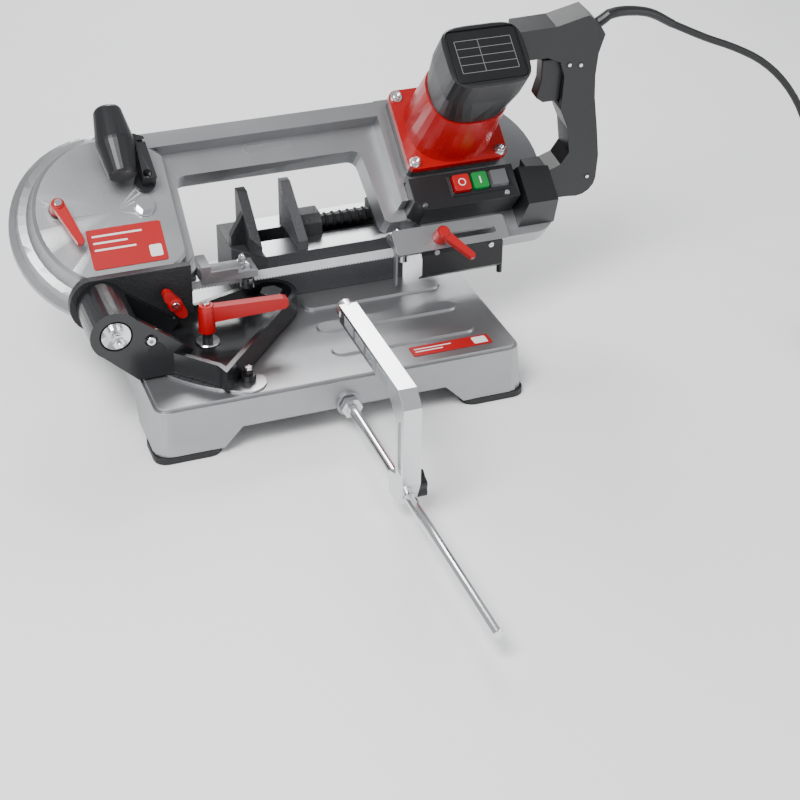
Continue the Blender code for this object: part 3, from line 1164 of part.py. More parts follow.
def make_handle():
    """The D-handle with its foot, and the trigger in its slot."""
    at = handle_matrix()
    cap_side = MOTOR_X + CAP_WIDTH / 2 + GAP + 0.0005
    outer = [(SWITCH_RIGHT + 0.022, 0.006), (0.3560, 0.004)]
    outer += arc(0.3680, 0.026, 0.0235, -pi / 2, 0.0, 4)
    outer += [(0.3900, 0.060), (0.3820, 0.100), (0.3720, 0.145), (0.3680, 0.175),
              (0.3675, 0.205), (0.3725, 0.230), (0.3640, 0.243), (0.3480, 0.258), (0.3075, 0.2480),
              (cap_side, 0.2470)]
    inner_left = [(cap_side, 0.2080), (0.3020, 0.2080), (0.3190, 0.2000), (0.3270, 0.1800),
                  (0.3280, 0.1600), (0.3290, 0.1330), (0.3420, 0.1050), (0.3490, 0.0700),
                  (0.3400, 0.0540), (0.3250, 0.0480), (SWITCH_RIGHT + 0.022, 0.0480)]
    body = to_object("main_handle", prism(outer + inner_left, -HANDLE_DEPTH, 0.0, at),
                     "black_plastic")
    foot = [(SWITCH_RIGHT + 0.003, 0.0), (HOUSING_RIGHT - 0.014, 0.0), (HOUSING_RIGHT - 0.012, 0.060),
            (SWITCH_RIGHT + 0.003, 0.068)]
    top = [(SWITCH_RIGHT + 0.006, 0.010), (HOUSING_RIGHT - 0.020, 0.010),
           (HOUSING_RIGHT - 0.020, 0.056), (SWITCH_RIGHT + 0.006, 0.060)]
    join(body, head_prism(foot, HOUSING_FACE + GAP, 0.062, top=top))
    cut(body, head_block((0.20, -0.10, -0.10), (HOUSING_RIGHT - 0.008, 0.30, HOUSING_FACE + GAP)))
    pocket = block((0.2950, 0.139, -HANDLE_DEPTH + 0.0068), (0.3360, 0.2055, -0.0068), at)
    cut(body, pocket)
    trigger = [(0.3080, 0.1420), (0.2975, 0.1500), (0.3015, 0.1710), (0.2995, 0.2010),
               (0.3290, 0.2010), (0.3290, 0.1420)]
    key = to_object("trigger", prism(trigger, -HANDLE_DEPTH + 0.0075, -0.0075, at), "black_plastic")
    pivot = at @ Vector((0.3150, 0.1700, -HANDLE_DEPTH / 2))
    return [finish(body), finish(key, pivot)]


def make_stop_pin():
    """The rod that hangs from the right housing."""
    rod = to_object("travel_rod", cylinder(0.0035, BASE_TOP + 0.008, BASE_TOP + 0.070,
                                           place(0.2565, 0.1605, 0.0), 16), "black_steel")
    cut(rod, head_block((0.0, HOUSING_BOTTOM - GAP, -0.2), (0.4, 0.2, 0.2)))
    return [finish(rod)]


# ------------------------------------------------------------------ mains lead
RELIEF_RADIUS = 0.0066
COIL_X = 0.6530
COIL_Y = -0.0500
COIL_RADIUS = 0.0500         # at the middle of the turns
COIL_HALF = 0.0138
COIL_HEIGHT = 0.0180
ENTRY = COIL_RADIUS + COIL_HALF + GAP + CORD_RADIUS
RELIEF_ROUTE = ((0.4050, 0.1604, 0.3915), (0.4360, 0.1610, 0.3850), (0.4686, 0.1620, 0.3670))
CORD_ROUTE = ((0.5166, 0.1660, 0.3430), (0.5600, 0.1680, 0.3240), (0.6000, 0.1685, 0.3020),
              (0.6350, 0.1680, 0.2720), (0.6640, 0.1665, 0.2330), (0.6860, 0.1640, 0.1850),
              (0.7010, 0.1600, 0.1350), (0.7110, 0.1530, 0.0880), (0.7170, 0.1410, 0.0480),
              (0.7205, 0.1190, 0.0190), (0.7216, 0.0860, 0.0062), (0.7216, 0.0500, CORD_RADIUS),
              (COIL_X + ENTRY, COIL_Y, CORD_RADIUS))


def smooth_route(points, spacing):
    """Points at an even spacing on a smooth curve through the route's points."""
    nodes = [Vector(p) for p in points]
    ends = [nodes[0] * 2 - nodes[1]] + nodes + [nodes[-1] * 2 - nodes[-2]]
    fine = []
    for i in range(1, len(ends) - 2):
        a, b, c, d = ends[i - 1:i + 3]
        for k in range(24):
            t = k / 24
            fine.append(0.5 * (2 * b + (c - a) * t + (2 * a - 5 * b + 4 * c - d) * t * t
                               + (3 * b - a - 3 * c + d) * t ** 3))
    fine.append(nodes[-1])
    total = sum((q - p).length for p, q in zip(fine, fine[1:]))
    steps = max(2, round(total / spacing))
    route = [fine[0]]
    walked = 0.0
    for p, q in zip(fine, fine[1:]):
        length = (q - p).length
        while len(route) < steps and walked + length >= len(route) * total / steps:
            part = (len(route) * total / steps - walked) / length
            route.append(p.lerp(q, part))
        walked += length
    return route + [fine[-1]]


def swept(name, route, radii, material):
    """A round tube along a route, with its own radius at each point and flat ends."""
    mesh = bmesh.new()
    side = Vector((0.0, 1.0, 0.0))
    rings = []
    for i, point in enumerate(route):
        ahead = route[min(i + 1, len(route) - 1)] - route[max(i - 1, 0)]
        ahead.normalize()
        first = ahead.cross(side).normalized()
        second = ahead.cross(first)
        rings.append([mesh.verts.new(point + radii[i] * (first * cos(pi * k / 6)
                                                         + second * sin(pi * k / 6)))
                      for k in range(12)])
    for a, b in zip(rings, rings[1:]):
        for k in range(12):
            mesh.faces.new((a[k], a[(k + 1) % 12], b[(k + 1) % 12], b[k]))
    mesh.faces.new(reversed(rings[0]))
    mesh.faces.new(rings[-1])
    return to_object(name, mesh, material)


def make_cord():
    """The strain relief, the free lead, its stored coil and the plug."""
    outward = Vector((0.837, 0.547, 0.0))
    corner = Vector((0.36825, 0.2365, -HANDLE_DEPTH / 2))
    straight = tuple(handle_matrix() @ (corner + outward * out) for out in (GAP * 2, 0.009, 0.018))
    route = smooth_route(straight + RELIEF_ROUTE, 0.008)
    count = len(route)
    radii = [RELIEF_RADIUS - 0.0016 * i / (count - 1) for i in range(count)]
    relief = swept("strain_relief", route, radii, "black_plastic")
    way = (route[-1] - route[-2]).normalized()
    cord_route = smooth_route((route[-1] + way * 2.5 * GAP,) + CORD_ROUTE, 0.022)
    curve = bpy.data.curves.new("cord", "CURVE")
    curve.dimensions = "3D"
    curve.bevel_depth = CORD_RADIUS
    curve.bevel_resolution = 3
    curve.use_fill_caps = True
    spline = curve.splines.new("POLY")
    spline.points.add(len(cord_route) - 1)
    for point, place_at in zip(spline.points, cord_route):
        point.co = (*place_at, 1.0)
    cord = bpy.data.objects.new("cord", curve)
    curve.materials.append(MATERIALS["rubber"])
    bpy.context.scene.collection.objects.link(cord)
    inner, outer = COIL_RADIUS - COIL_HALF, COIL_RADIUS + COIL_HALF
    soft = 0.0035
    ring = turned([(inner, soft), (inner + soft, 0.0), (outer - soft, 0.0), (outer, soft),
                   (outer, COIL_HEIGHT - soft), (outer - soft, COIL_HEIGHT),
                   (inner + soft, COIL_HEIGHT), (inner, COIL_HEIGHT - soft)], 48,
                  place(COIL_X, COIL_Y, 0.0))
    coil = to_object("cord_coil", ring, "rubber")
    lies = COIL_HEIGHT + GAP + 0.0185
    at = place(COIL_X + COIL_RADIUS, COIL_Y - 0.0380, lies, "y")
    plug = turned([(0.0, -0.030), (0.0165, -0.030), (0.0185, -0.027), (0.0185, 0.000),
                   (0.0150, 0.010), (0.0085, 0.018), (0.0060, 0.038), (0.0, 0.038)], 28, at)
    plug = to_object("plug", plug, "black_plastic")
    for side in (-0.0095, 0.0095):
        join(plug, cylinder(0.0024, -0.049, -0.029,
                            at @ Matrix.Translation((side, 0.0, 0.0)), 12))
    return [finish(relief), cord, finish(coil), finish(plug)]


# ------------------------------------------------------------------ assembly
LOOSE = ("strain_relief", "cord", "cord_coil", "plug")


def settle(root, items):
    """Hangs every piece on the root and puts the machine's bottom centre on the origin."""
    low = Vector((9.0, 9.0, 9.0))
    high = -low
    bpy.context.view_layer.update()
    for item in items:
        item.parent = root
        if item.name in LOOSE:
            continue
        for vert in item.data.vertices:
            spot = item.matrix_world @ vert.co
            low = Vector(map(min, low, spot))
            high = Vector(map(max, high, spot))
    root.location = (-(low.x + high.x) / 2, -(low.y + high.y) / 2, -low.z)
    bpy.context.view_layer.update()


def main():
    """Makes every piece and settles the machine."""
    root = start_scene()
    makers = (make_base, make_feet, make_base_trim, make_bed, make_moving_jaw, make_screw,
              make_stop, make_arm, make_arm_fittings, make_pivot, make_casting, make_cover,
              make_wheels, make_blade, make_left_guide, make_right_guide, make_front_fittings,
              make_grip, make_motor, make_switch, make_handle, make_stop_pin, make_cord)
    items = [item for maker in makers for item in maker()]
    settle(root, items)


main()
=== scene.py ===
# %% [markdown]
# # A portable metal-cutting band saw
# The saw's solid parts come from the CAD frame. This lesson gives them real finishes and adds
# the small things that a solid leaves out: blade teeth, screws, scale marks, jaw serrations,
# the coiled mains lead. It needs nothing but the frame.

# %% Load the frame
import json
from math import cos, pi, radians, sin, sqrt

import bmesh
import bpy
from mathutils import Matrix, Vector


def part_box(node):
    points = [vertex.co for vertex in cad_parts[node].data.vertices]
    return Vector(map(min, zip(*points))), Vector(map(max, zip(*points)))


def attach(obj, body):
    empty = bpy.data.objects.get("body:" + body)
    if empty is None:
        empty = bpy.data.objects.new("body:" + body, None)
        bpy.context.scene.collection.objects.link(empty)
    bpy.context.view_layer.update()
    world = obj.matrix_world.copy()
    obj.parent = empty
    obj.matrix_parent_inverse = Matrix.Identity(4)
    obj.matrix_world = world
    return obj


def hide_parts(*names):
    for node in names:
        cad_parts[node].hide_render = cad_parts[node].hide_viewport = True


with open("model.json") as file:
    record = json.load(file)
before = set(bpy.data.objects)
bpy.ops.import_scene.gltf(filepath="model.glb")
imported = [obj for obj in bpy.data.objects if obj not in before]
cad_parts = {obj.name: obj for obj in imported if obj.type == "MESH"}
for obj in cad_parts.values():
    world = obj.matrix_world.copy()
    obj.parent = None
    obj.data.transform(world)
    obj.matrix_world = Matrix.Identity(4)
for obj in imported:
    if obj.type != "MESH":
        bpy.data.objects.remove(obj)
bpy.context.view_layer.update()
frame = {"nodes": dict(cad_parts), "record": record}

# %% [markdown]
# ## Two sets of axes
# The base is laid out from the middle of its front edge. The sawing head leans back 40 degrees,
# so its fittings are easiest to place on its own plane: x along the blade, v up the plane and h
# out of it. Empties could carry these axes, but matrices need no extra objects, so small functions
# turn both kinds of place into places in the room.

# %% Places
base_low, base_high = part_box("base_casting")
BOSS = 0.0072  # the stop rod's boss stands this far out of the base's front
HOME = Vector(((base_low[0] + base_high[0]) / 2, base_low[1] + BOSS, 0.0))
BASE_TOP = 0.066
TILT = radians(40.0)
BLADE_AT = Vector((0.0, 0.175, BASE_TOP + 0.050))
ALONG = Vector((1.0, 0.0, 0.0))
UP_HEAD = Vector((0.0, cos(TILT), sin(TILT)))
OUT_HEAD = Vector((0.0, -sin(TILT), cos(TILT)))


def room(x, y, z):
    """A point of the base's layout in the room."""
    return HOME + Vector((x, y, z))


def axes(origin, first, second, third):
    """The matrix that puts a piece's own x, y and z on three directions."""
    turn = Matrix((first, second, third)).transposed().to_4x4()
    return Matrix.Translation(origin) @ turn


def on_head(x, v, h):
    """A matrix on the head's plane, its z out of the plane."""
    origin = HOME + BLADE_AT + ALONG * x + UP_HEAD * v + OUT_HEAD * h
    return axes(origin, ALONG, UP_HEAD, OUT_HEAD)


def facing(x, y, z, direction):
    """A matrix at a point of the base's layout, its z along a direction."""
    turn = Vector(direction).to_track_quat("Z", "Y").to_matrix().to_4x4()
    return Matrix.Translation(room(x, y, z)) @ turn


def level_at(z):
    """A matrix on a level plane of the base's layout."""
    return Matrix.Translation(room(0.0, 0.0, z))


HEAD_PLANE = on_head(0.0, 0.0, 0.0)
FRONT = (0.0, -1.0, 0.0)
UPWARDS = (0.0, 0.0, 1.0)
print("the base's front edge is at", [round(c, 4) for c in HOME])

# %% [markdown]
# ## The camera
# A long lens from the front left, well above the bench, keeps the machine's edges nearly
# parallel. Its sight line and its right-hand side fix its turn, with a slight roll.

# %% Camera
LENS = 78.45
SENSOR = 36.0
CAMERA_AT = room(-0.5351, -1.5743, 1.1058)
camera_data = bpy.data.cameras.new("camera")
camera_data.lens = LENS
camera_data.sensor_width = SENSOR
camera = bpy.data.objects.new("camera", camera_data)
bpy.context.scene.collection.objects.link(camera)
AZIMUTH = radians(-20.904)
ELEVATION = radians(32.733)
ROLL = radians(0.683)
ahead = Vector((-sin(AZIMUTH) * cos(ELEVATION), cos(AZIMUTH) * cos(ELEVATION),
                -sin(ELEVATION)))
level = Vector((cos(AZIMUTH), sin(AZIMUTH), 0.0))
down = ahead.cross(level)
right = level * cos(ROLL) - down * sin(ROLL)
camera.matrix_world = axes(CAMERA_AT, right, right.cross(ahead), -ahead)
bpy.context.scene.camera = camera
print("camera looks along", [round(c, 3) for c in ahead])

# %% [markdown]
# ## Finishes
# The saw is satin cast aluminium, gloss black and rough iron castings, bright steel, red enamel
# and moulded plastic. Painted images could carry their grain, but node networks stay sharp at any
# distance and need no file. Object coordinates drive a fine noise for the skin or grain, and a
# broad noise shifts the colour and gloss a little. Worn edges come from the Geometry node's
# pointiness, which finds the outer edges of a casting by itself.


# %% Material helper
MIX_FACTOR, MIX_A, MIX_B, MIX_RESULT = 0, 6, 7, 2  # the colour sockets of a Mix node
WORN_FROM, WORN_TO = 0.53, 0.64  # pointiness where wear begins and where it is full
COAT_ROUGHNESS = 0.12


def finish(name, colour, roughness, metallic=0.0, grain=900.0, bump=0.1, spread=0.08,
           cloud=9.0, coat=0.0, wear=None, depth=0.0002):
    """A finish: colour, gloss, fine grain, broad cloudiness and, if asked, paler worn edges."""
    material = bpy.data.materials.new(name)
    material.use_nodes = True
    nodes, links = material.node_tree.nodes, material.node_tree.links
    shader = nodes["Principled BSDF"]
    shader.inputs["Metallic"].default_value = metallic
    shader.inputs["Coat Weight"].default_value = coat
    shader.inputs["Coat Roughness"].default_value = COAT_ROUGHNESS
    place = nodes.new("ShaderNodeTexCoord")
    broad = nodes.new("ShaderNodeTexNoise")
    broad.inputs["Scale"].default_value = cloud
    broad.inputs["Detail"].default_value = 5.0
    fine = nodes.new("ShaderNodeTexNoise")
    fine.inputs["Scale"].default_value = grain
    fine.inputs["Detail"].default_value = 3.0
    for texture in (broad, fine):
        links.new(place.outputs["Object"], texture.inputs["Vector"])
    tint = nodes.new("ShaderNodeMix")
    tint.data_type = "RGBA"
    tint.inputs[MIX_A].default_value = (*[c * (1.0 - spread) for c in colour], 1.0)
    tint.inputs[MIX_B].default_value = (*[min(1.0, c * (1.0 + spread)) for c in colour], 1.0)
    links.new(broad.outputs["Fac"], tint.inputs[MIX_FACTOR])
    result = tint.outputs[MIX_RESULT]
    if wear:
        geometry = nodes.new("ShaderNodeNewGeometry")
        edge = nodes.new("ShaderNodeMapRange")
        edge.inputs["From Min"].default_value = WORN_FROM
        edge.inputs["From Max"].default_value = WORN_TO
        links.new(geometry.outputs["Pointiness"], edge.inputs["Value"])
        rub = nodes.new("ShaderNodeMix")
        rub.data_type = "RGBA"
        rub.inputs[MIX_B].default_value = (*wear, 1.0)
        links.new(edge.outputs["Result"], rub.inputs[MIX_FACTOR])
        links.new(result, rub.inputs[MIX_A])
        result = rub.outputs[MIX_RESULT]
    links.new(result, shader.inputs["Base Color"])
    gloss = nodes.new("ShaderNodeMapRange")
    gloss.inputs["To Min"].default_value = roughness * 0.85
    gloss.inputs["To Max"].default_value = min(1.0, roughness * 1.2)
    links.new(broad.outputs["Fac"], gloss.inputs["Value"])
    links.new(gloss.outputs["Result"], shader.inputs["Roughness"])
    relief = nodes.new("ShaderNodeBump")
    relief.inputs["Strength"].default_value = bump
    relief.inputs["Distance"].default_value = depth
    links.new(fine.outputs["Fac"], relief.inputs["Height"])
    links.new(relief.outputs["Normal"], shader.inputs["Normal"])
    return material


# Each row: name, colour, roughness, metallic, grain, bump, spread of the colour, cloudiness.
FINISHES = {
    "cast_aluminium": finish("satin aluminium", (0.36, 0.365, 0.375), 0.36, 0.85, 650.0, 0.35,
                             0.10, 14.0, wear=(0.62, 0.63, 0.65), depth=0.0004),
    "black_casting": finish("gloss black casting", (0.008, 0.0085, 0.010), 0.24, 0.0, 500.0, 0.30,
                            0.15, 20.0, coat=0.25, depth=0.0004),
    "rough_iron": finish("rough iron", (0.020, 0.021, 0.023), 0.45, 0.30, 420.0, 1.0, 0.55, 320.0,
                         wear=(0.16, 0.16, 0.17), depth=0.0009),
    "chromed_steel": finish("chrome", (0.80, 0.81, 0.82), 0.13, 1.0, 1500.0, 0.04, 0.03),
    "blade_steel": finish("blade steel", (0.78, 0.79, 0.80), 0.42, 0.25, 1500.0, 0.15, 0.10, 60.0),
    "black_steel": finish("blackened steel", (0.010, 0.010, 0.011), 0.34, 0.2, 900.0, 0.2, 0.2,
                          30.0),
    "red_plastic": finish("red plastic", (0.40, 0.002, 0.004), 0.33, 0.0, 900.0, 0.12, 0.08,
                          coat=0.08),
    "red_paint": finish("red enamel", (0.36, 0.002, 0.003), 0.27, 0.0, 400.0, 0.12, 0.06,
                        coat=0.15),
    "black_plastic": finish("black plastic", (0.009, 0.0095, 0.011), 0.36, 0.0, 1100.0, 0.40, 0.15),
    "green_plastic": finish("green plastic", (0.003, 0.20, 0.035), 0.30, 0.0, 900.0, 0.08, 0.06,
                            coat=0.1),
    "rubber": finish("black rubber", (0.009, 0.009, 0.010), 0.55, 0.0, 900.0, 0.5, 0.15),
    "scale_steel": finish("scale steel", (0.62, 0.63, 0.64), 0.30, 1.0, 1500.0, 0.08, 0.05),
}
FINISHES["clear_plastic"] = finish("smoked window", (0.10, 0.105, 0.11), 0.10, 0.0, 900.0, 0.02,
                                   0.04, coat=0.8)
MILLED = finish("milled iron", (0.50, 0.51, 0.52), 0.30, 1.0, 1200.0, 0.2, 0.12, 30.0)
JAW_STEEL = finish("jaw steel", (0.20, 0.20, 0.21), 0.35, 0.8, 900.0, 0.3, 0.3, 200.0)
POLISHED = finish("brushed aluminium", (0.74, 0.75, 0.76), 0.28, 1.0, 900.0, 0.12, 0.05, 30.0)
LABEL_RED = finish("red label", (0.40, 0.001, 0.004), 0.40, 0.0, 900.0, 0.05, 0.03)
WHITE_INK = finish("white ink", (0.80, 0.80, 0.78), 0.45, 0.0, 900.0, 0.03, 0.02)
BLACK_INK = finish("black ink", (0.010, 0.010, 0.011), 0.45, 0.0, 900.0, 0.03, 0.02)
small_finishes = (MILLED, JAW_STEEL, POLISHED, LABEL_RED, WHITE_INK, BLACK_INK)
print(len(FINISHES), "finishes for slots and", len(small_finishes), "for single pieces")

# %% [markdown]
# ## Dressing the solid parts
# No casting or moulding has a perfectly sharp edge. Rounding them in the solids would cost many
# faces, so a Weld and a small Bevel modifier do it here, wider on the parts that look softest.
# Each part takes the finish of its slot; the length stop's arm is brighter than the castings.

# %% Dress the solid parts
EDGE_ANGLE = radians(38.0)  # edges sharper than this are rounded
WELD_REACH = 0.000002
BEVELS = {"cast_aluminium": 0.0009, "black_casting": 0.0010, "rough_iron": 0.0006,
          "black_plastic": 0.0008, "red_plastic": 0.0006, "red_paint": 0.0009}
ROUND = {"main_handle": 0.0050, "grip_bracket": 0.0016, "switch_box": 0.0016, "trigger": 0.0020,
         "motor_cap": 0.0014, "stop_arm": 0.0014, "vise_knob": 0.0012, "plug": 0.0020}
BRIGHT = {"stop_arm": POLISHED}
slots = {part["node"]: part["material_slot"] for part in frame["record"]["subparts"]}


def soften(item, width):
    """Welds a part's split edges and rounds them a little, so that they catch the light."""
    weld = item.modifiers.new("weld", "WELD")
    weld.merge_threshold = WELD_REACH
    edge = item.modifiers.new("edge", "BEVEL")
    edge.width = width
    edge.segments = 2
    edge.limit_method = "ANGLE"
    edge.angle_limit = EDGE_ANGLE
    edge.use_clamp_overlap = True
    edge.harden_normals = True


for node, part in frame["nodes"].items():
    slot = slots[node]
    part.data.materials.clear()
    part.data.materials.append(BRIGHT.get(node, FINISHES[slot]))
    if slot in BEVELS:
        soften(part, ROUND.get(node, BEVELS[slot]))
print("dressed", len(slots), "solid parts")


# %% [markdown]
# ## Mesh tools
# The small fittings are all stamped, turned or drawn, so three builders cover them: a prism over
# an outline, a turned solid and a round wire along a path. Primitives would need a modifier for
# each chamfer, while a profile holds them all. A fourth function turns a mesh into a named piece
# that rides on a body.


# %% Mesh helpers
def arc(cx, cy, radius, start, end, steps):
    """Points on an arc, ends included."""
    return [(cx + radius * cos(start + (end - start) * i / steps),
             cy + radius * sin(start + (end - start) * i / steps)) for i in range(steps + 1)]


def ring(radius, steps, phase=0.0):
    """Points on a full circle."""
    return [(radius * cos(phase + 2 * pi * i / steps), radius * sin(phase + 2 * pi * i / steps))
            for i in range(steps)]


def rounded(x0, y0, x1, y1, radius, steps=4):
    """A rectangle with round corners."""
    corners = ((x1 - radius, y0 + radius, -pi / 2), (x1 - radius, y1 - radius, 0.0),
               (x0 + radius, y1 - radius, pi / 2), (x0 + radius, y0 + radius, pi))
    return [p for cx, cy, a in corners for p in arc(cx, cy, radius, a, a + pi / 2, steps)]


def prism(mesh, points, low, high, matrix, top=None):
    """Adds a prism, or a tapered one, to a mesh."""
    upper = top or points
    a = [mesh.verts.new(matrix @ Vector((x, y, low))) for x, y in points]
    b = [mesh.verts.new(matrix @ Vector((x, y, high))) for x, y in upper]
    mesh.faces.new(list(reversed(a)))
    mesh.faces.new(b)
    for i in range(len(a)):
        j = (i + 1) % len(a)
        mesh.faces.new((a[i], a[j], b[j], b[i]))


def turned(mesh, profile, matrix, steps=32):
    """Adds a turned solid. Its (radius, height) profile ends on the axis or joins up."""
    rings = []
    for radius, height in profile:
        around = ring(radius, steps) if radius > 0.0 else [(0.0, 0.0)]
        rings.append([mesh.verts.new(matrix @ Vector((x, y, height))) for x, y in around])
    pairs = list(zip(rings, rings[1:]))
    if len(rings[0]) > 1 and len(rings[-1]) > 1:
        pairs.append((rings[-1], rings[0]))
    for a, b in pairs:
        for i in range(steps):
            j = (i + 1) % steps
            corner = []
            for vert in (a[i % len(a)], a[j % len(a)], b[j % len(b)], b[i % len(b)]):
                if vert not in corner:
                    corner.append(vert)
            if len(corner) > 2:
                mesh.faces.new(corner)


def wire(mesh, points, radius, closed=False, sides=8):
    """Adds a round wire along points."""
    spots = [Vector(p) for p in points]
    count = len(spots)
    rings = []
    side = None
    for i, spot in enumerate(spots):
        after = spots[(i + 1) % count] if closed or i < count - 1 else spot
        before = spots[i - 1] if closed or i > 0 else spot
        way = (after - before).normalized()
        if side is None:
            side = way.orthogonal().normalized()
        side = (side - way * side.dot(way)).normalized()
        other = way.cross(side)
        rings.append([mesh.verts.new(spot + radius * (side * x + other * y))
                      for x, y in ring(1.0, sides)])
    pairs = list(zip(rings, rings[1:]))
    if closed:
        pairs.append((rings[-1], rings[0]))
    else:
        mesh.faces.new(list(reversed(rings[0])))
        mesh.faces.new(rings[-1])
    for a, b in pairs:
        for k in range(sides):
            mesh.faces.new((a[k], a[(k + 1) % sides], b[(k + 1) % sides], b[k]))


def piece(name, mesh, material, body, edge=0.0, sharp=35.0):
    """Turns a mesh into a shown piece that rides on a body."""
    bmesh.ops.recalc_face_normals(mesh, faces=mesh.faces)
    data = bpy.data.meshes.new(name)
    mesh.to_mesh(data)
    mesh.free()
    data.shade_smooth()
    data.set_sharp_from_angle(angle=radians(sharp))
    item = bpy.data.objects.new(name, data)
    bpy.context.scene.collection.objects.link(item)
    data.materials.append(FINISHES[material] if isinstance(material, str) else material)
    if edge:
        rim = item.modifiers.new("edge", "BEVEL")
        rim.width = edge
        rim.segments = 2
        rim.limit_method = "ANGLE"
        rim.angle_limit = EDGE_ANGLE
        rim.harden_normals = True
    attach(item, body)
    return item


# %% [markdown]
# ## The mains lead
# A rubber lead of 9 mm leaves the handle's strain relief, droops to the bench outside the view,
# and is put away in a neat coil of five turns with its plug on top. A simulated rope could find
# its own fall, but one smooth curve keeps the length exact: the free part's points are listed,
# and a loop winds the coil.

# %% Lead
CORD_RADIUS = 0.0045
COIL_CENTRE = room(0.6530, -0.0500, 0.0)
PLUG_RISE = 0.0233  # from the coil's top layer to the middle of the plug
OUTER_TURN = 0.0686
TURN_GAP = 0.0093
LAYER_RISE = 0.0090
ROUTE_STEPS = 3
TURN_POINTS = 36
# One row a turn: radius, its change and when, then height, its change and when.
COIL_TURNS = ((OUTER_TURN, -TURN_GAP, 0.0, 0.35, 0.0, 0.0, 0.0, 1.0),
              (OUTER_TURN - TURN_GAP, -TURN_GAP, 0.0, 0.35, 0.0, 0.0, 0.0, 1.0),
              (OUTER_TURN - 2 * TURN_GAP, -TURN_GAP, 0.0, 0.35, 0.0, 0.0, 0.0, 1.0),
              (OUTER_TURN - 3 * TURN_GAP, TURN_GAP, 0.55, 1.0, 0.0, LAYER_RISE, 0.0, 0.16),
              (OUTER_TURN - 2 * TURN_GAP, 0.0, 0.0, 1.0, LAYER_RISE, PLUG_RISE, 0.5, 0.9))
LEAD_ROUTE = ((0.4686, 0.1620, 0.3670), (0.5166, 0.1660, 0.3430), (0.5600, 0.1680, 0.3240),
              (0.6000, 0.1685, 0.3020), (0.6350, 0.1680, 0.2720), (0.6640, 0.1665, 0.2330),
              (0.6860, 0.1640, 0.1850), (0.7010, 0.1600, 0.1350), (0.7110, 0.1530, 0.0880),
              (0.7170, 0.1410, 0.0480), (0.7205, 0.1190, 0.0190), (0.7216, 0.0860, 0.0062),
              (0.7216, 0.0500, 0.0045), (0.7216, -0.0500, 0.0045))


def smooth(points, parts):
    """More points on a smooth curve through a route's points."""
    nodes = [Vector(p) for p in points]
    ends = [nodes[0] * 2 - nodes[1]] + nodes + [nodes[-1] * 2 - nodes[-2]]
    fine = []
    for i in range(1, len(ends) - 2):
        a, b, c, d = ends[i - 1:i + 3]
        for k in range(parts):
            t = k / parts
            fine.append(0.5 * (2 * b + (c - a) * t + (2 * a - 5 * b + 4 * c - d) * t * t
                               + (3 * b - a - 3 * c + d) * t ** 3))
    return fine + [nodes[-1]]


def ease(share, start, end):
    """A smooth step from 0 to 1 between two shares of a turn."""
    t = min(1.0, max(0.0, (share - start) / (end - start)))
    return t * t * (3 - 2 * t)


def coil_point(turn):
    """A point of the stored coil after so many turns: inwards, up a layer, and out again."""
    index = min(int(turn), len(COIL_TURNS) - 1)
    share = turn - index
    radius, widen, r0, r1, height, climb, h0, h1 = COIL_TURNS[index]
    radius += widen * ease(share, r0, r1)
    height += climb * ease(share, h0, h1)
    angle = -2 * pi * turn
    return COIL_CENTRE + Vector((radius * cos(angle), radius * sin(angle), CORD_RADIUS + height))


def length_of(points):
    """The length of a run of points."""
    return sum((b - a).length for a, b in zip(points, points[1:]))


free_part = [room(*p) for p in smooth(LEAD_ROUTE, ROUTE_STEPS)]
wound = [coil_point(i / TURN_POINTS) for i in range(1, len(COIL_TURNS) * TURN_POINTS + 1)]
lead_path = free_part + wound
lead_curve = bpy.data.curves.new("mains_lead", "CURVE")
lead_curve.dimensions = "3D"
lead_curve.bevel_depth = CORD_RADIUS
lead_curve.bevel_resolution = 4
lead_curve.use_fill_caps = True
spline = lead_curve.splines.new("POLY")
spline.points.add(len(lead_path) - 1)
for point, spot in zip(spline.points, lead_path):
    point.co = (*spot, 1.0)
lead_curve.materials.append(FINISHES["rubber"])
lead = bpy.data.objects.new("mains_lead", lead_curve)
bpy.context.scene.collection.objects.link(lead)
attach(lead, "base")
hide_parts("cord", "cord_coil")
print("lead:", round(length_of(free_part), 3), "m free,",
      round(length_of(lead_path), 3), "m in all")


# %% [markdown]
# ## The saw blade
# The band is 13 mm wide and 0.84 mm thick. It stands upright between the guides, twists to the
# head's lean beyond them, and rounds both wheels. A bump texture could hint at teeth, but their
# outline shows against the bed, so the loop is built tooth by tooth.

# %% Blade
WHEEL_RADIUS = 0.086
IDLER_X, DRIVE_X = -0.2135, 0.2365
BLADE_HALF_WIDTH = 0.0065
BLADE_HALF_THICK = 0.00042
TOOTH_PITCH = 0.0038
TOOTH_DEPTH = 0.0021
ROOT_SHARE, TIP_SHARE = 0.15, 0.85  # where a tooth's root and tip lie along its pitch
# Pairs of x and the share of the head's lean that the straight run has there.
TWIST = ((IDLER_X, 1.0), (-0.165, 0.62), (-0.115, 0.28), (-0.078, 0.0), (0.150, 0.0),
         (0.178, 0.28), (0.205, 0.62), (DRIVE_X, 1.0))


def lean_at(x):
    """The share of the head's lean that the straight run has at x."""
    for (x0, a), (x1, b) in zip(TWIST, TWIST[1:]):
        if x <= x1:
            return a + (b - a) * (x - x0) / (x1 - x0)
    return 1.0


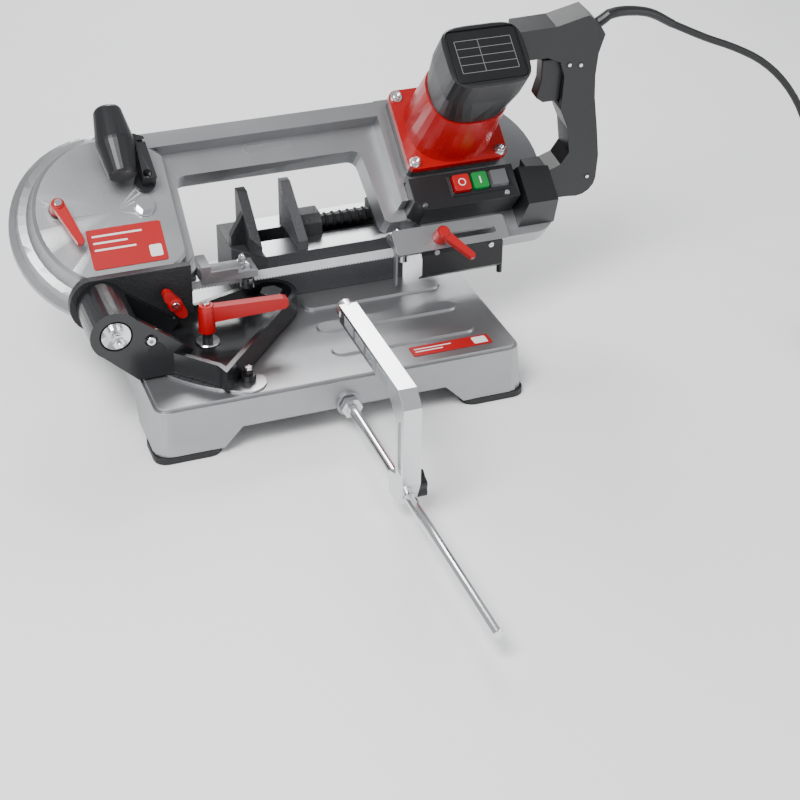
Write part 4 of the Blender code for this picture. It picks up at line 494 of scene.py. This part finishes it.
def blade_at(run):
    """Centre, width direction and outward direction of the band, after a run along it."""
    straight = DRIVE_X - IDLER_X
    half_turn = pi * WHEEL_RADIUS
    run %= 2 * (straight + half_turn)
    if run < straight:
        x = IDLER_X + run
        lean = TILT * lean_at(x)
        return (HOME + BLADE_AT + ALONG * x, Vector((0.0, -sin(lean), cos(lean))),
                Vector((0.0, -cos(lean), -sin(lean))))
    run -= straight
    if run < half_turn:
        x, angle = DRIVE_X, -pi / 2 + run / WHEEL_RADIUS
    elif run < half_turn + straight:
        x, angle = DRIVE_X - (run - half_turn), pi / 2
    else:
        x, angle = IDLER_X, pi / 2 + (run - half_turn - straight) / WHEEL_RADIUS
    out = ALONG * cos(angle) + UP_HEAD * sin(angle)
    middle = HOME + BLADE_AT + ALONG * x + UP_HEAD * WHEEL_RADIUS
    return middle + out * WHEEL_RADIUS, OUT_HEAD.copy(), out


loop_length = 2 * (DRIVE_X - IDLER_X) + 2 * pi * WHEEL_RADIUS
teeth = round(loop_length / TOOTH_PITCH)
band = bmesh.new()
rings = []
for i in range(teeth * 2):
    tip = i % 2
    share = TIP_SHARE if tip else ROOT_SHARE
    centre, width, out = blade_at((i // 2 + share) * loop_length / teeth)
    low = -BLADE_HALF_WIDTH + (0.0 if tip else TOOTH_DEPTH)
    rings.append([band.verts.new(centre + width * a + out * b)
                  for a, b in ((low, -BLADE_HALF_THICK), (BLADE_HALF_WIDTH, -BLADE_HALF_THICK),
                               (BLADE_HALF_WIDTH, BLADE_HALF_THICK), (low, BLADE_HALF_THICK))])
for a, b in zip(rings, rings[1:] + rings[:1]):
    for k in range(4):
        band.faces.new((a[k], a[(k + 1) % 4], b[(k + 1) % 4], b[k]))
blade = piece("toothed_blade", band, "blade_steel", "head", sharp=20.0)
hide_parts("saw_blade")
print(teeth, "teeth round a loop of", round(loop_length, 4), "m")

# %% [markdown]
# ## Screws
# Every screw is one of three: a socket cap screw, a slotted screw, or a hexagon bolt. Cutting
# slots and sockets with a Boolean would work, but a turned profile and two half-moons give the
# same look with clean faces. The cap screws' sockets are simply round holes.


# %% Screw makers
SCREW_SIDES = 24
WASHER_TOP = 0.0011
SCREW_GAP = 0.0001


def flat_washer(mesh, at, bore, radius, top):
    """A plain washer."""
    turned(mesh, [(bore, 0.0), (radius, 0.0), (radius, top), (bore, top)], at, SCREW_SIDES)


def socket_screw(mesh, at, radius, height, washer=0.0):
    """A cap screw with a round socket, on a washer of a given radius if asked."""
    if washer:
        flat_washer(mesh, at, radius * 0.5, washer, WASHER_TOP)
    low = WASHER_TOP + SCREW_GAP if washer else 0.0
    hole = radius * 0.55
    floor = height - radius * 0.75
    turned(mesh, [(0.0, low), (radius * 0.96, low), (radius, low + 0.0003),
                  (radius, height - 0.0005), (radius * 0.92, height), (hole, height),
                  (hole * 0.98, floor), (0.0, floor)], at, SCREW_SIDES)


def slotted_screw(mesh, at, radius, height):
    """A screw with a slot: two half-moons over a disc."""
    turned(mesh, [(0.0, 0.0), (radius, 0.0), (radius, height * 0.5), (0.0, height * 0.5)], at,
           SCREW_SIDES)
    half_slot = radius * 0.16
    inset = 0.985
    edge = sqrt(radius * radius - half_slot * half_slot) * inset
    for side in (1, -1):
        swing = arc(0.0, 0.0, radius * inset, 0.0, pi, 12)[1:-1]
        moon = [(edge, half_slot)] + [(x, max(y, half_slot)) for x, y in swing]
        moon += [(-edge, half_slot)]
        moon = [(x * side, y * side) for x, y in moon]
        prism(mesh, moon, height * 0.5, height, at)


def bolt_head(mesh, at, across, height):
    """A hexagon head with a chamfer round its top."""
    corner = across / sqrt(3.0)
    shoulder = height * 0.82
    prism(mesh, ring(corner, 6), 0.0, shoulder, at)
    prism(mesh, ring(corner, 6), shoulder, height, at, top=ring(corner * 0.86, 6))


print("three kinds of screw")

# %% Motor fixings
MOTOR_X, MOTOR_V = 0.2115, 0.127
HEAD_FACE = 0.042  # the casting's front, over the head's plane
FIT_GAP = 0.0003
GASKET = 0.016
FLANGE = 0.009
FLANGE_TOP = HEAD_FACE + FIT_GAP + GASKET + FLANGE
SCREW_X, SCREW_V = 0.055, 0.044  # the motor's screws from its axis
motor_screws = bmesh.new()
for side_x in (-1, 1):
    for side_v in (-1, 1):
        at = on_head(MOTOR_X + side_x * SCREW_X, MOTOR_V + side_v * SCREW_V, FLANGE_TOP + 0.0002)
        socket_screw(motor_screws, at, 0.0048, 0.0078, washer=0.0072)
piece("motor_screws", motor_screws, "chromed_steel", "head")
print("four screws at", round(FLANGE_TOP, 4), "m over the head's plane")

# %% Small head screws
GRIP_FOOT = (-0.1615, 0.118, HEAD_FACE + 0.0081)
# The tension lever's hub and the two ears of the switch box: place, radius, height.
SLOTTED = ((-0.2675, 0.0995, 0.0672, 0.0042, 0.0022), (0.1565, 0.0300, 0.0602, 0.0030, 0.0014),
           (0.2620, 0.0300, 0.0602, 0.0030, 0.0014))
head_screws = bmesh.new()
socket_screw(head_screws, on_head(*GRIP_FOOT), 0.0045, 0.0055)
for x, v, h, radius, height in SLOTTED:
    slotted_screw(head_screws, on_head(x, v, h), radius, height)
piece("head_screws", head_screws, "chromed_steel", "head")
print(len(SLOTTED) + 1, "small screws on the head")

# %% Arm and base screws
SWIVEL_X, SWIVEL_Y = -0.0335, 0.172  # the mitre axis
PIVOT_X, PIVOT_Z = -0.241, BASE_TOP + 0.064  # the axis on which the head rises
BARREL_FRONT = 0.069


def round_swivel(radius, degrees, z):
    """A point at a distance and an angle round the mitre axis."""
    angle = radians(degrees)
    return (SWIVEL_X + radius * cos(angle), SWIVEL_Y + radius * sin(angle), z)


ARM_FLOOR = BASE_TOP + 0.018
LEVER_TOP = ARM_FLOOR + 0.0493
washer = bmesh.new()
turned(washer, [(0.0064, 0.0003), (0.0140, 0.0003), (0.0145, 0.0012), (0.0134, 0.0025),
                (0.0064, 0.0025)],
       facing(*round_swivel(0.122, 216.7, ARM_FLOOR), UPWARDS), 32)
piece("clamp_washer", washer, "chromed_steel", "swivel")
lever_screw = bmesh.new()
socket_screw(lever_screw, facing(*round_swivel(0.122, 216.7, LEVER_TOP), UPWARDS), 0.0045, 0.0026)
piece("lever_screw", lever_screw, "chromed_steel", "mitre_lever")
travel_screw = bmesh.new()
socket_screw(travel_screw, facing(PIVOT_X + 0.0385, BARREL_FRONT + 0.0037, PIVOT_Z - 0.013, FRONT),
             0.0050, 0.0065)
piece("travel_screw", travel_screw, "chromed_steel", "swivel")
STOP_PIN_TOP = BASE_TOP + 0.0165
stop_screw = bmesh.new()
bolt_head(stop_screw, facing(*round_swivel(0.158, 243.6, STOP_PIN_TOP), UPWARDS), 0.0085, 0.0025)
piece("stop_pin_head", stop_screw, "chromed_steel", "base")
print("screws on the motor, head, arm and base")

# %% Nuts over the guide pins
GUIDE_TOP = 0.1335
PIN_OFFSET = 0.00925
NUT_WASHER = 0.0008


def domed_nut(mesh, at, across, height):
    """A hexagon nut with a domed top."""
    prism(mesh, ring(across / sqrt(3.0), 6), 0.0, height * 0.45, at)
    dome = [(0.0, height * 0.40), (across * 0.46, height * 0.40)]
    dome += [(across * 0.42 * cos(a), height * (0.45 + 0.55 * sin(a)))
             for a in [radians(12 * i) for i in range(8)]]
    dome += [(0.0, height)]
    turned(mesh, dome, at, SCREW_SIDES)


for name, x, body in (("left_pin_nuts", -0.064, "head"), ("right_pin_nuts", 0.1305, "guide")):
    nuts = bmesh.new()
    for side in (-1, 1):
        at = Matrix.Translation(room(x, BLADE_AT.y + side * PIN_OFFSET, GUIDE_TOP + SCREW_GAP))
        flat_washer(nuts, at, 0.0025, 0.0062, NUT_WASHER)
        domed_nut(nuts, at @ Matrix.Translation((0.0, 0.0, NUT_WASHER)), 0.0088, 0.0092)
    piece(name, nuts, "chromed_steel", body)
print("nuts on the guides")

# %% Knob insert and cover on the arm
insert = bmesh.new()
at = facing(PIVOT_X + 0.0815, 0.1268, PIVOT_Z - 0.008, FRONT)
turned(insert, [(0.0020, 0.0001), (0.0042, 0.0001), (0.0042, 0.0014), (0.0036, 0.0020),
                (0.0022, 0.0020)], at, SCREW_SIDES)
piece("wing_knob_insert", insert, "chromed_steel", "wing_knob")
hub = bmesh.new()
turned(hub, [(0.0042, -0.0040), (0.0088, -0.0040), (0.0082, 0.0004), (0.0070, 0.0010),
             (0.0042, 0.0010)], at, 32)
piece("wing_knob_hub", hub, "red_plastic", "wing_knob")
hex_cover = bmesh.new()
prism(hex_cover, ring(0.0105, 6, radians(12)), 0.0001, 0.0008,
      facing(-0.1967, BARREL_FRONT, 0.1030, FRONT))
piece("arm_hex_cover", hex_cover, "black_steel", "swivel", edge=0.0002)
barrel_bolt = bmesh.new()
at = facing(PIVOT_X, 0.0560, PIVOT_Z, FRONT)
bolt_head(barrel_bolt, at @ Matrix.Translation((0.0, 0.0, -0.0020)), 0.0130, 0.0060)
turned(barrel_bolt, [(0.0, 0.004), (0.0030, 0.004), (0.0030, 0.0085), (0.0024, 0.0092),
                     (0.0, 0.0092)], at, 20)
piece("pivot_bolt_head", barrel_bolt, "chromed_steel", "head")
print("insert, cover and pivot bolt")

# %% Handle, guard and knob fixings
HANDLE_LEAN = radians(9.7)
HANDLE_FRONT = (0.0, -cos(HANDLE_LEAN), -sin(HANDLE_LEAN))
HANDLE_SCREWS = ((0.3318, 0.1532, 0.3367), (0.3465, 0.1536, 0.3346), (0.3795, 0.1810, 0.1744))
WELL_FLOOR = 0.00012
GUARD_FRONT = (0.0, -0.98, -0.18)
GUARD_SCREWS = ((0.1618, 0.1327, 0.1312), (0.2319, 0.1330, 0.1295))
sunk = bmesh.new()
bright = bmesh.new()
for spot in HANDLE_SCREWS:
    at = facing(*spot, HANDLE_FRONT)
    turned(sunk, [(0.0, 0.00005), (0.0040, 0.00005), (0.0043, 0.00035), (0.0036, 0.00045),
                  (0.0030, WELL_FLOOR), (0.0, WELL_FLOOR)], at, SCREW_SIDES)
    slotted_screw(bright, at @ Matrix.Translation((0.0, 0.0, WELL_FLOOR)), 0.0022, 0.0005)
piece("handle_screw_wells", sunk, "black_plastic", "head")
for spot in GUARD_SCREWS:
    slotted_screw(bright, facing(*spot, GUARD_FRONT), 0.0034, 0.0018)
piece("handle_and_guard_screws", bright, "chromed_steel", "head")
print(len(HANDLE_SCREWS) + len(GUARD_SCREWS), "screws on the handle and guard")


# %% [markdown]
# ## Casting relief
# The dome's plate, the arrow that shows the blade's run and the bead round the dome stand a
# little proud of the casting. Displacement could raise them, but only on a very fine mesh, so the
# plate is a thin prism with a rounded edge, and the arrow and bead are wires half sunk in.

# %% Label on the dome
INK = 0.00008  # a print's thickness
PLATE_LOW, PLATE_TOP = HEAD_FACE + 0.0003, HEAD_FACE + 0.0011
LINE_LEFT = -0.236
LINE_RIGHTS = (-0.178, -0.196, -0.188)
FIRST_LINE_V = 0.0620
LINE_STEP = 0.0085
LINE_HALF = 0.0011


def slab(mesh, x0, y0, x1, y1, radius, steps, low, high, at):
    """Adds a flat rectangle with round corners."""
    prism(mesh, rounded(x0, y0, x1, y1, radius, steps), low, high, at)


plate = bmesh.new()
slab(plate, -0.2415, 0.0215, -0.1550, 0.0710, 0.003, 4, PLATE_LOW, PLATE_TOP, HEAD_PLANE)
piece("head_label", plate, LABEL_RED, "head", edge=0.0003)
lines = bmesh.new()
for row, right_end in enumerate(LINE_RIGHTS):
    v = FIRST_LINE_V - LINE_STEP * row
    slab(lines, LINE_LEFT, v - LINE_HALF, right_end, v + LINE_HALF, 0.0010, 3,
         PLATE_TOP, PLATE_TOP + INK, HEAD_PLANE)
slab(lines, -0.1745, 0.0275, -0.1600, 0.0420, 0.002, 3, PLATE_TOP, PLATE_TOP + INK, HEAD_PLANE)
piece("head_label_lines", lines, WHITE_INK, "head")
print("a label with", len(LINE_RIGHTS), "blank lines")

# %% Arrow and bead
ARROW_V = 0.1530
ARROW_TIP, ARROW_NECK, ARROW_END = -0.0340, -0.0260, 0.0270
BARB, SHAFT = 0.0062, 0.0034
ARROW_FACE = 0.0202
DOME = (-0.2015, 0.090)
BEAD_RADIUS, BEAD_FACE = 0.1008, 0.0158
upper = [(ARROW_NECK, BARB), (ARROW_NECK, SHAFT), (ARROW_END, SHAFT)]
outline = [(ARROW_TIP, 0.0)] + upper + [(x, -v) for x, v in reversed(upper)]
arrow = bmesh.new()
wire(arrow, [HEAD_PLANE @ Vector((x, ARROW_V + v, ARROW_FACE)) for x, v in outline], 0.0007,
     closed=True)
piece("blade_run_arrow", arrow, "cast_aluminium", "head")
bead = bmesh.new()
wire(bead, [on_head(*DOME, BEAD_FACE) @ Vector((x, v, 0.0)) for x, v in
            arc(0.0, 0.0, BEAD_RADIUS, radians(42), radians(262), 64)], 0.0011)
piece("dome_bead", bead, "cast_aluminium", "head")
print("arrow and bead on the head")

# %% [markdown]
# ## Switch marks
# The stop and start keys carry only an O and an I. A text object could write them, but a ring and
# a bar are cleaner meshes. Each rides with its own key, so it travels when the key is pressed.

# %% Switch
SWITCH_TOP = 0.063
KEYS_V = 0.0485
STOP_AT = on_head(MOTOR_X - 0.00525, KEYS_V, SWITCH_TOP + 0.0065)
START_AT = on_head(MOTOR_X + 0.0185, KEYS_V, SWITCH_TOP + 0.0055)
stop_mark = bmesh.new()
wire(stop_mark, [STOP_AT @ Vector((x, y, 0.0)) for x, y in ring(0.0042, 28)], 0.0006, closed=True)
piece("stop_mark", stop_mark, WHITE_INK, "off_button")
start_mark = bmesh.new()
slab(start_mark, -0.0008, -0.0045, 0.0008, 0.0045, 0.0003, 2, -0.0001, 0.0003, START_AT)
piece("start_mark", start_mark, WHITE_INK, "on_button")
bezel = bmesh.new()
wire(bezel, [HEAD_PLANE @ Vector((x, v, SWITCH_TOP + 0.0002)) for x, v in
             rounded(MOTOR_X - 0.0178, 0.0357, MOTOR_X + 0.0558, 0.0613, 0.002, 4)],
     0.0007, closed=True)
piece("switch_bezel", bezel, "black_plastic", "head")
print("marks on the switch")

# %% [markdown]
# ## Motor cap
# The motor's cap ends in a dark rating plate. An image would be the usual way to print it, but
# here its field is only a grid of thin raised lines, with nothing to read.

# %% Cap plate
CAP_LOW, CAP_TOP = 0.2333, 0.2346
CAP_X, CAP_V = 0.0415, 0.0315  # half of the plate's sides
GRID_X, GRID_V = 0.034, 0.020  # half of the grid's sides
GRID_ROWS = 5
GRID_COLUMNS = (-GRID_X, -0.006, GRID_X)
STROKE = 0.0003
cap_plate = bmesh.new()
slab(cap_plate, MOTOR_X - CAP_X, MOTOR_V - CAP_V, MOTOR_X + CAP_X, MOTOR_V + CAP_V, 0.005, 4,
     CAP_LOW, CAP_TOP, HEAD_PLANE)
piece("cap_plate", cap_plate, "black_steel", "head", edge=0.0004)
rating = bmesh.new()
for row in range(GRID_ROWS):
    v = MOTOR_V + GRID_V - 0.010 * row
    slab(rating, MOTOR_X - GRID_X, v - STROKE, MOTOR_X + GRID_X, v + STROKE, 0.0002, 2,
         CAP_TOP, CAP_TOP + INK, HEAD_PLANE)
for column in GRID_COLUMNS:
    x = MOTOR_X + column
    slab(rating, x - STROKE, MOTOR_V - GRID_V, x + STROKE, MOTOR_V + GRID_V, 0.0002, 2,
         CAP_TOP, CAP_TOP + INK, HEAD_PLANE)
piece("rating_lines", rating, "scale_steel", "head")
print("cap plate with", GRID_ROWS, "rows")

# %% [markdown]
# ## Vise
# The bed's two ways are milled bright, and both jaws' faces are cut into small diamonds that bite
# the work. A bump texture would look flat from the side, so the diamonds are low pyramids in rows.

# %% Ways and serrations
BED_TOP = BASE_TOP + 0.058
WAYS = ((0.2010, 0.2400), (0.2712, 0.3020))
JAW_FRONT, JAW_HEIGHT, JAW_NOSE = 0.203, 0.060, 0.012  # the nose is their front corner's height
SLOPE_DEPTH = 0.060
FIXED_FACE = -0.0335
MOVING_FACE = FIXED_FACE + 0.045
TEETH_FRONT, TEETH_BACK = 0.205, 0.274
DIAMOND = 0.0045
ways = bmesh.new()
for y0, y1 in WAYS:
    slab(ways, -0.0300, y0, 0.1435, y1, 0.001, 2, 0.00005, 0.0002, level_at(BED_TOP))
piece("milled_ways", ways, MILLED, "base")


def jaw_top(y):
    """The height of the jaws' sloping top at a depth."""
    share = min(1.0, max(0.0, (y - JAW_FRONT) / SLOPE_DEPTH))
    return BED_TOP + JAW_NOSE + (JAW_HEIGHT - JAW_NOSE) * share


def diamonds(face_x, side):
    """Rows of low pyramids on an upright jaw face."""
    mesh = bmesh.new()
    half = DIAMOND * 0.46
    for row in range(int(JAW_HEIGHT / DIAMOND)):
        z = BED_TOP + 0.003 + (row + 0.5) * DIAMOND
        for column in range(int((TEETH_BACK - TEETH_FRONT) / DIAMOND)):
            y = TEETH_FRONT + (column + 0.5 + 0.5 * (row % 2)) * DIAMOND
            over_top = z + DIAMOND / 2 > jaw_top(y - DIAMOND / 2)
            if over_top or y + DIAMOND / 2 > TEETH_BACK:
                continue
            corner = [mesh.verts.new(room(face_x, y + a * half, z + b * half))
                      for a, b in ((-1, 0), (0, -1), (1, 0), (0, 1))]
            peak = mesh.verts.new(room(face_x + side * 0.0009, y, z))
            for k in range(4):
                mesh.faces.new((corner[k], corner[(k + 1) % 4], peak))
            mesh.faces.new(corner)
    return mesh


piece("moving_jaw_teeth", diamonds(MOVING_FACE, -1), JAW_STEEL, "jaw",
      sharp=10.0)
piece("fixed_jaw_teeth", diamonds(FIXED_FACE, 1), JAW_STEEL, "base",
      sharp=10.0)
print("ways and jaw faces")

# %% [markdown]
# ## Base trim
# A plain red plate sits on the right of the base. The mitre scale is a steel sector with a mark
# every 5 degrees and a longer one every 15. Printed marks could be a texture; thin slabs turned
# about the mitre axis need no mapping and stay exactly on their angles.

# %% Plate on the base
base_at = level_at(BASE_TOP)
BASE_PLATE_TOP = 0.0010
base_plate = bmesh.new()
slab(base_plate, 0.0895, 0.0165, 0.1875, 0.0365, 0.002, 4, 0.0002, BASE_PLATE_TOP, base_at)
piece("base_label", base_plate, LABEL_RED, "base", edge=0.0003)
plate_lines = bmesh.new()
for y, right_end in ((0.0300, 0.140), (0.0245, 0.128)):
    slab(plate_lines, 0.094, y - 0.0009, right_end, y + 0.0009, 0.0008, 3,
         BASE_PLATE_TOP, BASE_PLATE_TOP + INK, base_at)
slab(plate_lines, 0.166, 0.0195, 0.183, 0.0335, 0.0015, 3,
     BASE_PLATE_TOP, BASE_PLATE_TOP + INK, base_at)
piece("base_label_lines", plate_lines, WHITE_INK, "base")
print("a plate on the base")

# %% Marks on the mitre scale
FIRST_MARK, MARK_STEP, MARKS = 198.0, 5.0, 9  # degrees, degrees and how many
MARK_RADIUS = 0.1835
LONG_MARK, SHORT_MARK = 0.013, 0.008
scale_at = Matrix.Translation(room(SWIVEL_X, SWIVEL_Y, BASE_TOP + 0.0025))
ticks = bmesh.new()
for mark in range(MARKS):
    turn = scale_at @ Matrix.Rotation(radians(FIRST_MARK + MARK_STEP * mark), 4, "Z")
    length = SHORT_MARK if mark % 3 else LONG_MARK
    slab(ticks, MARK_RADIUS - length, -0.0003, MARK_RADIUS, 0.0003, 0.0002, 1,
         -0.00002, 0.00006, turn)
piece("scale_marks", ticks, BLACK_INK, "base")
print(MARKS, "marks on the mitre scale")


# %% [markdown]
# ## Bench and light
# A plain pale floor and three soft lamps: a strong one high on the left, a weaker one on the right
# and one behind to lift the upper edges of the dark pieces. A sky alone would light it evenly, but
# then the castings' flat faces would hardly differ.

# %% Floor and lamps
FLOOR = 6.0  # half of its side
FLOOR_DROP = 0.0005
SKY_COLOUR = (0.95, 0.97, 1.0, 1.0)
SKY_STRENGTH = 0.55
floor_mesh = bmesh.new()
corners = [floor_mesh.verts.new((x * FLOOR, y * FLOOR, 0.0))
           for x, y in ((-1, -1), (1, -1), (1, 1), (-1, 1))]
floor_mesh.faces.new(corners)
floor_data = bpy.data.meshes.new("floor")
floor_mesh.to_mesh(floor_data)
floor_mesh.free()
floor_data.materials.append(finish("floor", (0.94, 0.94, 0.94), 0.6, 0.0, 60.0, 0.02, 0.01))
floor = bpy.data.objects.new("floor", floor_data)
floor.location.z = -FLOOR_DROP
bpy.context.scene.collection.objects.link(floor)

world = bpy.data.worlds.new("studio")
world.use_nodes = True
sky = world.node_tree.nodes["Background"]
sky.inputs["Color"].default_value = SKY_COLOUR
sky.inputs["Strength"].default_value = SKY_STRENGTH
bpy.context.scene.world = world


def lamp(name, place, aim, power, size):
    """A square soft lamp at a place, turned to a point."""
    data = bpy.data.lights.new(name, "AREA")
    data.energy = power
    data.size = size
    item = bpy.data.objects.new(name, data)
    way = Vector(aim) - Vector(place)
    item.location = place
    item.rotation_euler = way.to_track_quat("-Z", "Y").to_euler()
    bpy.context.scene.collection.objects.link(item)


lamp("key", (-1.1, -0.9, 2.1), (0.0, 0.1, 0.1), 78.0, 1.1)
lamp("fill", (1.9, -1.4, 1.1), (0.1, 0.1, 0.15), 20.0, 1.3)
lamp("rim", (0.4, 2.0, 1.6), (0.0, 0.2, 0.2), 34.0, 1.0)
print("bench lit by three lamps")
